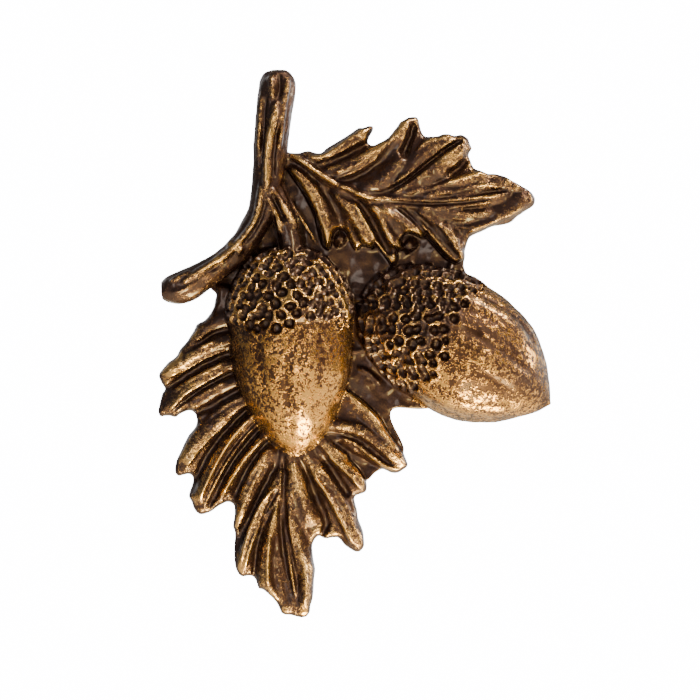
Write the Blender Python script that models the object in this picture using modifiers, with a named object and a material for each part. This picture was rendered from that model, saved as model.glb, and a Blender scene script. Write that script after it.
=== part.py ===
"""Acorn branch cabinet knob: one metal casting of a twig, two leaves and two acorns, with a tapped post behind.

The knob stands as it is fixed to a door: the carved face looks along -Y and up the door is +Z. The origin is
where the screw's axis meets the door, so the end of the post lies in the plane y = 0.
The carving is modelled lying on its back: x to the right, y up the knob and z the height above the casting's
flat back. Leaves, twig, nuts and cups are separate pattern pieces, which are fused into one skin, trimmed flat
at the back, and given their post and screw hole. The knob object then stands the casting up.
"""

import math

import bmesh
import bpy
from mathutils import Matrix, Vector

MM = 0.001

# The drawing is a face view, x to the right and y down, and KNOB_HEIGHT gives it its real size.
KNOB_HEIGHT = 63.5
DRAWN_HEIGHT = 548.0
SCREW_AT = (340, 334)
UNIT = KNOB_HEIGHT / DRAWN_HEIGHT

# Thicknesses, measured up from the casting's flat back.
WEB_THICKNESS = 1.5
LOWER_LEAF_THICKNESS = 2.1
UPPER_LEAF_THICKNESS = 2.9
LEAF_EDGE_ROUNDING = 0.8

# The folds of a leaf are given by their heights over its mean surface. The plate lies lower by the depth of the
# valleys between them, where a fold is also wider by its flared foot.
VALLEY_DEPTH = 0.2
FOLD_SHARE = 0.85
FOLD_FOOT = 0.2
FOLD_END_SHARE = 0.6
FOLD_RISES_OVER = 0.25

# The twig, its side branch and the stalk of the front acorn.
TWIG_WIDTH = 4.4
TWIG_CENTRE_HEIGHT = 2.7
TWIG_RIDGE_WIDTH = 1.4
TWIG_RIDGE_CENTRE_HEIGHT = 4.3
STALK_WIDTH = 2.6
STALK_ROOT_HEIGHT = 2.3
STALK_CENTRE_HEIGHT = 2.9

# The nuts are turned shapes, half sunk in the casting. Each has its tip, and the side that its axis leans to.
FRONT_NUT_TIP = (296.5, 459)
FRONT_NUT_LEAN = math.radians(2.7)
FRONT_NUT_WIDTH = 14.1
FRONT_NUT_TAPER = 14.4
FRONT_NUT_FULLNESS = 0.69
FRONT_NUT_VISIBLE = 16.3
FRONT_NUT_AXIS_HEIGHT = 2.0
FRONT_CUP_WIDTH = 15.1
FRONT_CUP_LENGTH = 8.5
SIDE_NUT_TIP = (551, 404)
SIDE_NUT_LEAN = math.radians(58.7)
SIDE_NUT_WIDTH = 15.6
SIDE_NUT_TAPER = 11.6
SIDE_NUT_FULLNESS = 0.8
SIDE_NUT_VISIBLE = 14.8
SIDE_NUT_AXIS_HEIGHT = 0.9
SIDE_CUP_WIDTH = 15.5
SIDE_CUP_LENGTH = 10.6
NUT_HIDDEN_IN_CUP = 2.0
NUT_PROFILE_POINTS = 14
NUT_SIDES = 48

# The scales of the cups are round dimples in staggered rows, with the metal between them left standing.
# They are punched by hand, so each lies off its place by a share of the pitch, and some of the first row are
# missing.
DIMPLE_DIAMETER = 1.25
DIMPLE_DEPTH = 0.62
DIMPLE_PITCH_ROUND = 1.42
DIMPLE_PITCH_ALONG = 1.22
DIMPLE_SPREAD = math.radians(84.0)
FRONT_CUP_UNEVENNESS = 0.24
SIDE_CUP_UNEVENNESS = 0.34

# The post behind, and the tapped hole for a number 8 machine screw, here at its tapping drill's size.
POST_LENGTH = 12.0
POST_DIAMETER = 10.5
POST_ROOT_DIAMETER = 12.5
POST_SEAT = 1.0
POST_SIDES = 48
HOLE_DIAMETER = 3.5
HOLE_DEPTH = 9.5
HOLE_SIDES = 32

# How finely the fused skin is drawn.
SKIN_VOXEL = 0.25
SKIN_SHARE_KEPT = 0.0635
TRIM_MARGIN = 10.0

# The upper leaf, clockwise from the root of its stalk. Its lower edge lies over the second acorn's cup.
UPPER_LEAF = [
    (286, 151), (300, 153), (308, 150), (320, 153), (324, 149), (337, 141), (350, 133), (362, 127),
    (374, 126), (371, 132), (366, 143), (372, 145), (387, 139), (393, 133), (398, 124), (408, 117),
    (417, 117), (421, 128), (425, 136), (438, 136), (448, 134), (461, 134), (469, 139), (472, 148),
    (469, 155), (474, 168), (487, 174), (497, 174), (508, 178), (519, 184), (531, 191), (536, 199),
    (533, 206), (522, 213), (513, 221), (500, 225), (488, 229), (471, 236), (466, 246), (464, 258),
    (455, 263), (437, 252), (425, 238), (412, 233), (405, 233), (401, 240), (404, 252), (398, 270),
    (385, 257), (377, 248), (368, 246), (355, 248), (344, 231), (338, 229), (330, 245), (321, 217),
    (305, 190), (291, 172), (280, 155),
]

# The lower leaf, clockwise from the top of its right edge. Its upper end is hidden by the front acorn.
LOWER_LEAF = [
    (352, 392), (372, 409), (387, 430), (403, 448), (408, 465), (395, 473), (378, 466), (357, 455),
    (347, 456), (358, 469), (367, 482), (367, 492), (355, 495), (354, 500), (357, 515), (362, 533),
    (364, 544), (358, 552), (351, 550), (340, 538), (326, 539), (318, 536), (312, 548), (315, 567),
    (314, 588), (310, 611), (301, 618), (283, 614), (275, 600), (258, 589), (256, 580), (249, 575),
    (242, 577), (236, 569), (234, 550), (235, 530), (233, 522), (234, 504), (226, 502), (211, 512),
    (200, 515), (193, 507), (189, 495), (193, 480), (190, 474), (178, 477), (174, 469), (179, 449),
    (188, 435), (195, 424), (195, 414), (187, 411), (175, 417), (160, 417), (158, 409), (165, 392),
    (158, 376), (167, 363), (178, 351), (190, 335), (195, 325), (206, 317), (214, 304), (230, 290),
    (330, 300),
]

# The thin plate behind everything, which fills the gaps between the leaves, the twig and the acorns.
WEB = [
    (262, 205), (266, 150), (290, 154), (340, 215), (440, 235), (464, 250), (464, 265), (468, 275), (478, 284),
    (500, 330), (450, 400), (425, 409), (397, 408), (391, 412), (392, 422), (402, 442), (404, 452),
    (380, 470), (367, 481), (330, 470), (240, 400), (215, 325), (214, 304), (216, 293), (210, 286),
    (225, 255),
]

# The twig from its cut upper end to its cut left end, and the stalk that runs from the fork to the front acorn.
# Each point has its share of the full width.
TWIG = [
    (279, 69.4, 0.3), (279, 72, 0.62), (278.5, 76, 0.84), (278, 82, 0.97), (276, 95, 0.97), (274, 115, 0.92),
    (271, 140, 0.9),
    (269, 170, 0.84), (265, 200, 0.78), (256, 225, 0.74), (243, 245, 0.72), (227, 260, 0.72),
    (209, 273, 0.76), (191, 283, 0.86), (177, 288, 0.86), (166, 289, 0.7), (160, 289, 0.35),
]
STALK = [(269, 160, 1.0), (273, 185, 1.0), (281, 208, 1.0), (290, 235, 1.0), (294, 262, 1.0)]

# The main ridge of the twig's bark.
TWIG_RIDGES = [
    [(277, 98), (274, 118), (270, 138), (267, 158), (267, 180), (264, 198)],
    [(262, 184), (260, 203), (255, 221), (247, 234), (234, 248), (216, 262), (198, 273), (182, 283)],
]

# Folds of the leaves, each from its root towards the edge of the leaf: its height over the leaf's mean surface,
# its reach to the left and to the right of its way, and the points that it runs through.
UPPER_FOLDS = [
    (0.70, 0.80, 0.80, [(282, 150), (300, 160), (320, 174), (335, 183), (350, 190), (365, 197), (402, 202)]),
    (0.50, 0.80, 0.80, [(378, 199), (400, 202), (430, 204), (460, 202), (490, 199), (514, 195)]),
    (0.60, 0.70, 1.30, [(300, 156), (322, 159), (340, 149), (356, 138), (371, 127)]),
    (0.95, 0.45, 2.00, [(318, 174), (338, 166), (357, 159), (375, 147), (392, 133), (405, 120), (415, 118)]),
    (0.85, 1.30, 1.20, [(356, 193), (374, 187), (388, 176), (400, 164), (408, 154)]),
    (0.70, 1.40, 0.70, [(394, 184), (410, 168), (424, 154), (438, 143), (455, 137)]),
    (0.75, 0.50, 1.70, [(390, 196), (410, 186), (430, 171), (448, 157), (464, 144)]),
    (0.65, 0.90, 1.30, [(410, 197), (435, 192), (455, 184), (475, 176), (494, 176)]),
    (0.60, 1.10, 0.80, [(450, 195), (478, 189), (505, 184), (525, 190)]),
    (0.75, 0.45, 1.70, [(530, 194), (519, 207), (501, 218), (481, 227), (466, 233)]),
    (0.55, 1.30, 1.30, [(428, 209), (450, 216), (470, 219), (494, 214)]),
    (0.80, 1.60, 0.55, [(416, 209), (434, 220), (448, 234), (460, 254)]),
    (0.80, 0.90, 1.50, [(376, 204), (391, 212), (407, 222), (424, 235)]),
    (0.80, 0.90, 0.50, [(369, 203), (379, 215), (385, 230), (393, 243), (402, 249)]),
    (0.90, 1.60, 0.80, [(331, 188), (344, 201), (354, 217), (362, 233), (371, 247)]),
    (0.95, 1.30, 0.55, [(288, 166), (304, 183), (315, 201), (323, 222), (328, 246)]),
]
LOWER_FOLDS = [
    (0.50, 0.90, 1.10, [(236, 316), (218, 321), (205, 330), (194, 343)]),
    (0.80, 0.75, 1.30, [(236, 338), (214, 346), (196, 355), (180, 365), (163, 377)]),
    (0.75, 0.80, 0.80, [(238, 362), (220, 369), (200, 380), (182, 393), (164, 412)]),
    (0.60, 0.80, 0.90, [(244, 378), (222, 388), (204, 398), (188, 409)]),
    (0.95, 0.80, 1.60, [(254, 394), (236, 408), (218, 424), (200, 441), (182, 466)]),
    (0.80, 0.55, 1.20, [(262, 410), (246, 425), (228, 445), (212, 471), (198, 505)]),
    (0.75, 0.80, 0.80, [(268, 430), (252, 449), (236, 470), (221, 497)]),
    (0.95, 1.60, 0.80, [(272, 444), (258, 464), (248, 484), (241, 506), (237, 528)]),
    (0.80, 0.80, 0.90, [(278, 480), (264, 506), (254, 528), (246, 552), (241, 572)]),
    (0.90, 0.80, 1.40, [(281, 470), (276, 502), (271, 530), (267, 556), (267, 580), (277, 604)]),
    (0.90, 1.30, 0.80, [(283, 468), (288, 500), (293, 530), (300, 556), (305, 580), (303, 610)]),
    (1.05, 1.30, 1.10, [(287, 434), (291, 458), (297, 484), (303, 504), (312, 527)]),
    (0.85, 1.60, 0.55, [(294, 440), (306, 462), (321, 484), (335, 508), (347, 530), (359, 549)]),
    (0.80, 1.20, 0.70, [(304, 428), (322, 444), (338, 461), (352, 475), (364, 489)]),
    (0.75, 1.10, 0.75, [(316, 424), (338, 427), (356, 430), (372, 440), (390, 455), (405, 466)]),
    (0.95, 0.45, 1.80, [(334, 376), (350, 390), (362, 400), (374, 412), (383, 427), (391, 438), (401, 450)]),
]

ANTIQUE_BRASS = (0.29, 0.19, 0.09, 1.0)
ROUGHNESS = 0.38


def on_sheet(point):
    """A point of the drawing, in millimetres right of and above the screw's axis."""
    return (point[0] - SCREW_AT[0]) * UNIT, (SCREW_AT[1] - point[1]) * UNIT


def keep(collection, name, data):
    """An object for the data, in the collection."""
    made = bpy.data.objects.new(name, data)
    collection.objects.link(made)
    return made


def plate(collection, name, outline, thickness):
    """A flat piece of that outline with a rounded rim. It reaches behind the back, and is trimmed later."""
    rounding = min(LEAF_EDGE_ROUNDING, thickness / 2)
    curve = bpy.data.curves.new(name, "CURVE")
    curve.dimensions = "2D"
    curve.fill_mode = "BOTH"
    curve.extrude = thickness / 2 * MM
    curve.bevel_depth = rounding * MM
    curve.bevel_resolution = 2
    curve.offset = -rounding * MM
    spline = curve.splines.new("POLY")
    spline.points.add(len(outline) - 1)
    for point, drawn in zip(spline.points, outline):
        x, y = on_sheet(drawn)
        point.co = (x * MM, y * MM, 0, 1)
    spline.use_cyclic_u = True
    made = keep(collection, name, curve)
    made.location.z = (thickness / 2 - rounding) * MM
    return made


def tube(collection, name, path):
    """A round bar along the path, each point a place in the drawing, a width and a height above the back."""
    curve = bpy.data.curves.new(name, "CURVE")
    curve.dimensions = "3D"
    curve.bevel_depth = 1.0 * MM
    curve.bevel_resolution = 3
    curve.use_fill_caps = True
    curve.resolution_u = 6
    spline = curve.splines.new("NURBS")
    spline.points.add(len(path) - 1)
    spline.order_u = 3
    spline.use_endpoint_u = True
    for point, (drawn, width, height) in zip(spline.points, path):
        x, y = on_sheet(drawn)
        point.co = (x * MM, y * MM, height * MM, 1)
        point.radius = width / 2
    return keep(collection, name, curve)


def along_axis(tip, lean, axis_height):
    """The matrix that lays a turned shape's own Z axis in the casting, from the tip towards the cup."""
    x, y = on_sheet(tip)
    return (
        Matrix.Translation(Vector((x, y, axis_height)) * MM)
        @ Matrix.Rotation(lean, 4, "Z")
        @ Matrix.Rotation(-math.pi / 2, 4, "X")
    )


def turned(collection, name, profile, placed):
    """A shape turned about its own Z axis. The profile runs down its outer side, as radius and height."""
    mesh = bpy.data.meshes.new(name)
    points = [(radius * MM, 0, height * MM) for radius, height in profile]
    mesh.from_pydata(points, [(i, i + 1) for i in range(len(points) - 1)], [])
    made = keep(collection, name, mesh)
    made.matrix_world = placed
    screw = made.modifiers.new("Turned", "SCREW")
    screw.steps = NUT_SIDES
    screw.render_steps = NUT_SIDES
    screw.use_merge_vertices = True
    screw.merge_threshold = 0.00005
    return made


def cutter(collection, name, built):
    """A helper for a Boolean modifier, which isn't a part of the knob."""
    mesh = bpy.data.meshes.new(name)
    built.to_mesh(mesh)
    built.free()
    made = keep(collection, name, mesh)
    made.hide_render = True
    made.display_type = "WIRE"
    return made


def combine(piece, name, operation, other):
    """A Boolean step of a piece, whose other piece may overlap itself, as the dimples' balls do."""
    step = piece.modifiers.new(name, "BOOLEAN")
    step.operation = operation
    step.object = other
    step.use_self = True


def nut_profile(width, taper, fullness, visible):
    """A nut from the middle of its cup down to its tip, which tapers along a sine curve."""
    top = visible + NUT_HIDDEN_IN_CUP
    steps = [i / NUT_PROFILE_POINTS for i in range(NUT_PROFILE_POINTS, 0, -1)]
    side = [(width / 2 * math.sin(math.pi / 2 * t**fullness), taper * t) for t in steps]
    return [(0.0, top), (width / 2, top)] + side + [(0.0, 0.0)]


def cup_radius(width, length, along):
    """The radius of a cup at a distance from its rim: a quarter of an ellipse."""
    return width / 2 * math.sqrt(max(0.0, 1 - (along / length) ** 2))


def cup_profile(width, length, rim):
    """A cup from its closed end down to its rim, which it meets square."""
    steps = [math.pi / 2 * i / NUT_PROFILE_POINTS for i in range(NUT_PROFILE_POINTS + 1)]
    dome = [(width / 2 * math.sin(a), rim + length * math.cos(a)) for a in steps]
    return dome + [(0.0, rim)]


def dimple_places(width, length, unevenness):
    """Where a cup's dimples are, as the angle round its axis and the distance from its rim. Every second row is
    half a pitch on."""
    places = []
    row = 0
    along = -0.75 * DIMPLE_PITCH_ALONG
    while along < 0.995 * length:
        step = DIMPLE_PITCH_ROUND / cup_radius(width, length, max(along, 0))
        half = int(DIMPLE_SPREAD / step)
        for place in range(-half, half + 1):
            if row == 0 and math.sin(7.0 * place) > 0:
                continue
            turn = unevenness * math.sin(12.9 * row + 7.3 * place)
            slide = unevenness * math.cos(5.1 * row + 9.7 * place)
            angle = (place + 0.5 * (row % 2) + turn) * step
            places.append((angle, min(along + slide * DIMPLE_PITCH_ALONG, 0.97 * length)))
        share = max(along, 0) / length
        steepness = width / 2 / length * share / math.sqrt(1 - share**2)
        along += DIMPLE_PITCH_ALONG / math.hypot(1, steepness)
        row += 1
    return places


def dimple_cutter(collection, name, width, length, rim, placed, unevenness):
    """The balls that cut the dimples of a cup's front."""
    ball = ((DIMPLE_DIAMETER / 2) ** 2 + DIMPLE_DEPTH**2) / (2 * DIMPLE_DEPTH)
    outwards = ball - DIMPLE_DEPTH
    built = bmesh.new()
    for angle, along in dimple_places(width, length, unevenness):
        slope = math.asin(min(1.0, max(along, 0) / length))
        out = cup_radius(width, length, max(along, 0)) + outwards * math.cos(slope)
        up = rim + along + outwards * math.sin(slope)
        centre = Vector((out * math.sin(angle), -out * math.cos(angle), up)) * MM
        bmesh.ops.create_icosphere(
            built,
            subdivisions=2,
            radius=ball * MM,
            matrix=Matrix.Translation(centre),
        )
    made = cutter(collection, name, built)
    made.matrix_world = placed
    return made


def acorn(collection, name, tip, lean, axis_height, nut, cup):
    """A nut with its dimpled cup. The nut is its width, its taper, its fullness and the rim's place, and the
    cup its width, its length and how uneven its dimples are."""
    placed = along_axis(tip, lean, axis_height)
    nut_width, taper, fullness, rim = nut
    cup_width, cup_length, unevenness = cup
    turned(collection, name + "_nut", nut_profile(nut_width, taper, fullness, rim), placed)
    dome = turned(collection, name + "_cup", cup_profile(cup_width, cup_length, rim), placed)
    dimples = dimple_cutter(collection, name + "_dimples", cup_width, cup_length, rim, placed, unevenness)
    combine(dome, "Dimples", "DIFFERENCE", dimples)


def outline_block(collection, name, outline):
    """A block of that outline, which trims what stands over the rim of a leaf."""
    built = bmesh.new()
    low = [built.verts.new((x * MM, y * MM, -TRIM_MARGIN * MM)) for x, y in map(on_sheet, outline)]
    raised = bmesh.ops.extrude_face_region(built, geom=[built.faces.new(low)])
    high = [piece for piece in raised["geom"] if isinstance(piece, bmesh.types.BMVert)]
    bmesh.ops.translate(built, vec=(0, 0, 2 * TRIM_MARGIN * MM), verts=high)
    bmesh.ops.recalc_face_normals(built, faces=built.faces)
    return cutter(collection, name, built)


def leaf(collection, name, outline, thickness, folds):
    """A leaf: its plate, and the folds that stand out of its face, trimmed to its outline."""
    plate(collection, name, outline, thickness)
    bars = []
    for i, (height, left, right, path) in enumerate(folds):
        bars.append(tube(collection, f"{name}_fold_{i + 1}", fold(height, left, right, path, thickness)))
    raised = keep(collection, name + "_folds", one_mesh(bars))
    combine(raised, "Trim", "INTERSECT", outline_block(collection, name + "_block", outline))


def fold(height, left, right, path, thickness):
    """A fold as a round bar, which rises out of the leaf close to its root and sinks back where it ends. It
    lies off its way towards the side that it reaches further to."""
    stands_out = VALLEY_DEPTH + FOLD_SHARE * height
    foot = FOLD_SHARE * (left + right) + FOLD_FOOT
    width = (foot**2 / 4 + stands_out**2) / stands_out
    aside = FOLD_SHARE * (right - left) / 2 / UNIT
    first, last = Vector(path[0]), Vector(path[-1])
    rise = first.lerp(Vector(path[1]), FOLD_RISES_OVER)
    fall = last.lerp(Vector(path[-2]), FOLD_RISES_OVER)
    points = [first, rise, *map(Vector, path[1:-1]), fall, last]
    steps = len(points) - 1
    made = []
    for i, point in enumerate(points):
        way = (points[min(i + 1, steps)] - points[max(i - 1, 0)]).normalized()
        out, share = (0, FOLD_END_SHARE) if i in (0, steps) else (stands_out, 1)
        place = point + Vector((-way.y, way.x)) * aside * share
        made.append((place, width * share, thickness + out - width * share / 2))
    return made


def bar(path, width, first_height, last_height):
    """The path of a twig or stalk, whose points have a share of its width. Its height runs evenly along it."""
    rise = (last_height - first_height) / (len(path) - 1)
    return [((x, y), width * share, first_height + rise * i) for i, (x, y, share) in enumerate(path)]


def pattern(collection):
    """Every piece of the pattern, lying on its back."""
    plate(collection, "web", WEB, WEB_THICKNESS)
    leaf(collection, "upper_leaf", UPPER_LEAF, UPPER_LEAF_THICKNESS, UPPER_FOLDS)
    leaf(collection, "lower_leaf", LOWER_LEAF, LOWER_LEAF_THICKNESS, LOWER_FOLDS)
    tube(collection, "twig", bar(TWIG, TWIG_WIDTH, TWIG_CENTRE_HEIGHT, TWIG_CENTRE_HEIGHT))
    for i, ridge in enumerate(TWIG_RIDGES):
        path = [(point, TWIG_RIDGE_WIDTH, TWIG_RIDGE_CENTRE_HEIGHT) for point in ridge]
        tube(collection, f"twig_ridge_{i + 1}", path)
    tube(collection, "stalk", bar(STALK, STALK_WIDTH, STALK_ROOT_HEIGHT, STALK_CENTRE_HEIGHT))
    acorn(
        collection,
        "front_acorn",
        FRONT_NUT_TIP,
        FRONT_NUT_LEAN,
        FRONT_NUT_AXIS_HEIGHT,
        (FRONT_NUT_WIDTH, FRONT_NUT_TAPER, FRONT_NUT_FULLNESS, FRONT_NUT_VISIBLE),
        (FRONT_CUP_WIDTH, FRONT_CUP_LENGTH, FRONT_CUP_UNEVENNESS),
    )
    acorn(
        collection,
        "side_acorn",
        SIDE_NUT_TIP,
        SIDE_NUT_LEAN,
        SIDE_NUT_AXIS_HEIGHT,
        (SIDE_NUT_WIDTH, SIDE_NUT_TAPER, SIDE_NUT_FULLNESS, SIDE_NUT_VISIBLE),
        (SIDE_CUP_WIDTH, SIDE_CUP_LENGTH, SIDE_CUP_UNEVENNESS),
    )


def one_mesh(pieces):
    """The pieces as one mesh. The pieces are then removed."""
    bpy.context.view_layer.update()
    graph = bpy.context.evaluated_depsgraph_get()
    built = bmesh.new()
    for piece in pieces:
        mesh = bpy.data.meshes.new_from_object(piece.evaluated_get(graph))
        mesh.transform(piece.matrix_world)
        built.from_mesh(mesh)
    for piece in pieces:
        bpy.data.objects.remove(piece)
    mesh = bpy.data.meshes.new("pattern")
    built.to_mesh(mesh)
    built.free()
    mesh.shade_smooth()
    return mesh


def joined(collection):
    """The pattern as one mesh. Its pieces and their cutters are then removed."""
    mesh = one_mesh([piece for piece in collection.objects if not piece.hide_render])
    for piece in list(collection.objects):
        bpy.data.objects.remove(piece)
    return mesh


def back_block(collection):
    """The space behind the casting's back, where the nuts and cups are trimmed flat."""
    built = bmesh.new()
    bmesh.ops.create_cube(built, size=1.0)
    side = (KNOB_HEIGHT + 2 * TRIM_MARGIN) * MM
    depth = TRIM_MARGIN * MM
    bmesh.ops.scale(built, vec=(side, side, depth), verts=built.verts)
    bmesh.ops.translate(built, vec=(0, 0, -depth / 2), verts=built.verts)
    return cutter(collection, "back_block", built)


def round_bar(name, collection, sides, width_low, width_high, low, high):
    """A round bar on the screw's axis, between two heights above the casting's back."""
    built = bmesh.new()
    bmesh.ops.create_cone(
        built,
        cap_ends=True,
        segments=sides,
        radius1=width_low / 2 * MM,
        radius2=width_high / 2 * MM,
        depth=(high - low) * MM,
        matrix=Matrix.Translation((0, 0, (low + high) / 2 * MM)),
    )
    return cutter(collection, name, built)


def antique_brass():
    """Brass that was darkened all over and then rubbed bright on the high places."""
    material = bpy.data.materials.new("antique_brass")
    material.use_nodes = True
    shader = material.node_tree.nodes["Principled BSDF"]
    shader.inputs["Base Color"].default_value = ANTIQUE_BRASS
    shader.inputs["Metallic"].default_value = 1.0
    shader.inputs["Roughness"].default_value = ROUGHNESS
    return material


def build():
    for old in list(bpy.data.objects):
        bpy.data.objects.remove(old)
    scene = bpy.context.scene.collection
    parts = bpy.data.collections.new("acorn_branch_knob")
    helpers = bpy.data.collections.new("helpers")
    scene.children.link(parts)
    scene.children.link(helpers)

    pattern(helpers)
    knob = keep(parts, "knob_casting", joined(helpers))
    knob.data.materials.append(antique_brass())

    skin = knob.modifiers.new("Fused skin", "REMESH")
    skin.mode = "VOXEL"
    skin.voxel_size = SKIN_VOXEL * MM
    lighter = knob.modifiers.new("Lighter skin", "DECIMATE")
    lighter.ratio = SKIN_SHARE_KEPT
    combine(knob, "Flat back", "DIFFERENCE", back_block(helpers))
    post = round_bar(
        "post", helpers, POST_SIDES, POST_DIAMETER, POST_ROOT_DIAMETER, -POST_LENGTH, POST_SEAT
    )
    combine(knob, "Post", "UNION", post)
    hole = round_bar(
        "screw_hole",
        helpers,
        HOLE_SIDES,
        HOLE_DIAMETER,
        HOLE_DIAMETER,
        -POST_LENGTH - TRIM_MARGIN,
        HOLE_DEPTH - POST_LENGTH,
    )
    combine(knob, "Screw hole", "DIFFERENCE", hole)

    # The casting stands up with its post's end on the door, and the cutters stand up with it.
    upright = bpy.data.objects.new("upright", None)
    parts.objects.link(upright)
    upright.rotation_euler.x = math.pi / 2
    upright.location.y = -POST_LENGTH * MM
    for piece in [knob, *helpers.objects]:
        piece.parent = upright


build()
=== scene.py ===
"""Acorn branch cabinet knob: the finished casting in antique brass, in a plain studio.

The knob stands as it is fixed to a door, with its carved face towards -Y and the end of its post at y = 0.
The casting is carved lying on its flat back and stood up at the end.
"""

import math

import bmesh
import bpy
import numpy as np
from mathutils import Matrix, Vector, noise


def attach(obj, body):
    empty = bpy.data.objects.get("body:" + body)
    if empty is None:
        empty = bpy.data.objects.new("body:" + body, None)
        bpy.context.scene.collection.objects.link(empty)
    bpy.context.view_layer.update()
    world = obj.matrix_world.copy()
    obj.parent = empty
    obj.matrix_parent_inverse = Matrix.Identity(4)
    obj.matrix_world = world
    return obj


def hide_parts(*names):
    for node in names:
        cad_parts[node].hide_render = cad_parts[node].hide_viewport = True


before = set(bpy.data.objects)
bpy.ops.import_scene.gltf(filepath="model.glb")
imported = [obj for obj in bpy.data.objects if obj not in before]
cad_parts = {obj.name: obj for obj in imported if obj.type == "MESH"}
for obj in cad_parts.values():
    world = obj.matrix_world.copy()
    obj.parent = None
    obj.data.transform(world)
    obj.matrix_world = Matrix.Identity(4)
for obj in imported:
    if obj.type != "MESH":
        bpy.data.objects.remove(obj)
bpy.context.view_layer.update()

# The studio. A pale paper floor fades out into a pale surround, both lit for the camera alone. The brass
# mirrors dim walls and small warm soft boxes: two at the right, one above, one at the left and two low in
# front. Two pale ones stand behind.
FLOOR_BELOW = 0.12
FLOOR_FADES_FROM = 0.30
FLOOR_FADES_TO = 0.75
FLOOR_GLOW = 1.2
SURROUND_GLOW = 16.0
WALLS_GLOW = (0.25, 0.30)
LAMPS_AIM = Vector((0.0, -0.014, 0.0))


def linear(colour, alpha=1.0):
    """An sRGB hex colour as the linear values that a shader takes."""
    parts = [int(colour[i : i + 2], 16) / 255 for i in (1, 3, 5)]
    return [p / 12.92 if p <= 0.04045 else ((p + 0.055) / 1.055) ** 2.4 for p in parts] + [alpha]


def add_node(tree, kind, inputs=None, **settings):
    """A new node with those settings. An input is a value, a socket, or a node that feeds it."""
    made = tree.nodes.new(kind)
    for name, value in settings.items():
        setattr(made, name, value)
    for name, value in (inputs or {}).items():
        if isinstance(value, bpy.types.Node):
            value = value.outputs[0]
        if isinstance(value, bpy.types.NodeSocket):
            tree.links.new(value, made.inputs[name])
        else:
            made.inputs[name].default_value = value
    return made


def maths(tree, operation, *values, **settings):
    """A node that reckons with those values, sockets or nodes."""
    return add_node(tree, "ShaderNodeMath", dict(enumerate(values)), operation=operation, **settings)


def mapped(tree, value, low, high, to_low=0.0, to_high=1.0, kind="LINEAR"):
    """A node that lays the values from low to high on another range."""
    inputs = {"Value": value, "From Min": low, "From Max": high, "To Min": to_low, "To Max": to_high}
    return add_node(tree, "ShaderNodeMapRange", inputs, interpolation_type=kind)


def holder(name, data):
    """A new object in the scene with that mesh, curve, lamp or camera."""
    thing = bpy.data.objects.new(name, data)
    bpy.context.scene.collection.objects.link(thing)
    return thing


surround = bpy.data.worlds.new("light tent")
surround.use_nodes = True
bpy.context.scene.world = surround
tree = surround.node_tree
tree.nodes.clear()
rays = add_node(tree, "ShaderNodeLightPath")
seen = add_node(tree, "ShaderNodeBackground", {"Color": linear("#fdfdff"), "Strength": SURROUND_GLOW})
towards = add_node(tree, "ShaderNodeTexCoord").outputs["Generated"]
lean = add_node(tree, "ShaderNodeVectorMath", {0: towards, 1: (0.45, -0.65, 0.30)}, operation="DOT_PRODUCT")
wall = mapped(tree, lean.outputs["Value"], -0.6, 0.6, *WALLS_GLOW, "SMOOTHSTEP")
cast = add_node(tree, "ShaderNodeBackground", {"Color": linear("#f0ebe4"), "Strength": wall})
both = add_node(tree, "ShaderNodeMixShader", {0: rays.outputs["Is Camera Ray"], 1: cast, 2: seen})
add_node(tree, "ShaderNodeOutputWorld", {"Surface": both})

# The floor is matt paper, whose rim is clear, so that it has no edge against the surround.
paper = bpy.data.materials.new("matt paper")
paper.use_nodes = True
tree = paper.node_tree
tree.nodes.clear()
place = add_node(tree, "ShaderNodeTexCoord")
out = add_node(tree, "ShaderNodeVectorMath", {0: place.outputs["Object"]}, operation="LENGTH")
fade = mapped(tree, out.outputs["Value"], FLOOR_FADES_FROM, FLOOR_FADES_TO, kind="SMOOTHSTEP")
matt = add_node(tree, "ShaderNodeBsdfDiffuse", {"Color": linear("#f4f3f1")})
to_camera = add_node(tree, "ShaderNodeLightPath").outputs["Is Camera Ray"]
lit = maths(tree, "MULTIPLY", to_camera, FLOOR_GLOW)
lit = add_node(tree, "ShaderNodeEmission", {"Color": linear("#fbfaf9"), "Strength": lit})
matt = add_node(tree, "ShaderNodeAddShader", {0: matt, 1: lit})
clear = add_node(tree, "ShaderNodeBsdfTransparent")
both = add_node(tree, "ShaderNodeMixShader", {0: fade, 1: matt, 2: clear})
add_node(tree, "ShaderNodeOutputMaterial", {"Surface": both})
built = bmesh.new()
bmesh.ops.create_circle(built, cap_ends=True, segments=96, radius=FLOOR_FADES_TO * 1.05)
floor_mesh = bpy.data.meshes.new("floor")
built.to_mesh(floor_mesh)
built.free()
floor_mesh.materials.append(paper)
floor = holder("floor", floor_mesh)
floor.location.z = -FLOOR_BELOW


def soft_box(name, place, width, height, power, colour):
    """A rectangular lamp at that place, turned towards the knob."""
    lamp = bpy.data.lights.new(name, "AREA")
    lamp.shape = "RECTANGLE"
    lamp.size = width
    lamp.size_y = height
    lamp.energy = power
    lamp.color = linear(colour)[:3]
    stand = holder(name, lamp)
    stand.location = place
    stand.rotation_euler = (LAMPS_AIM - Vector(place)).to_track_quat("-Z", "Y").to_euler()
    stand.visible_camera = False


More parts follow.
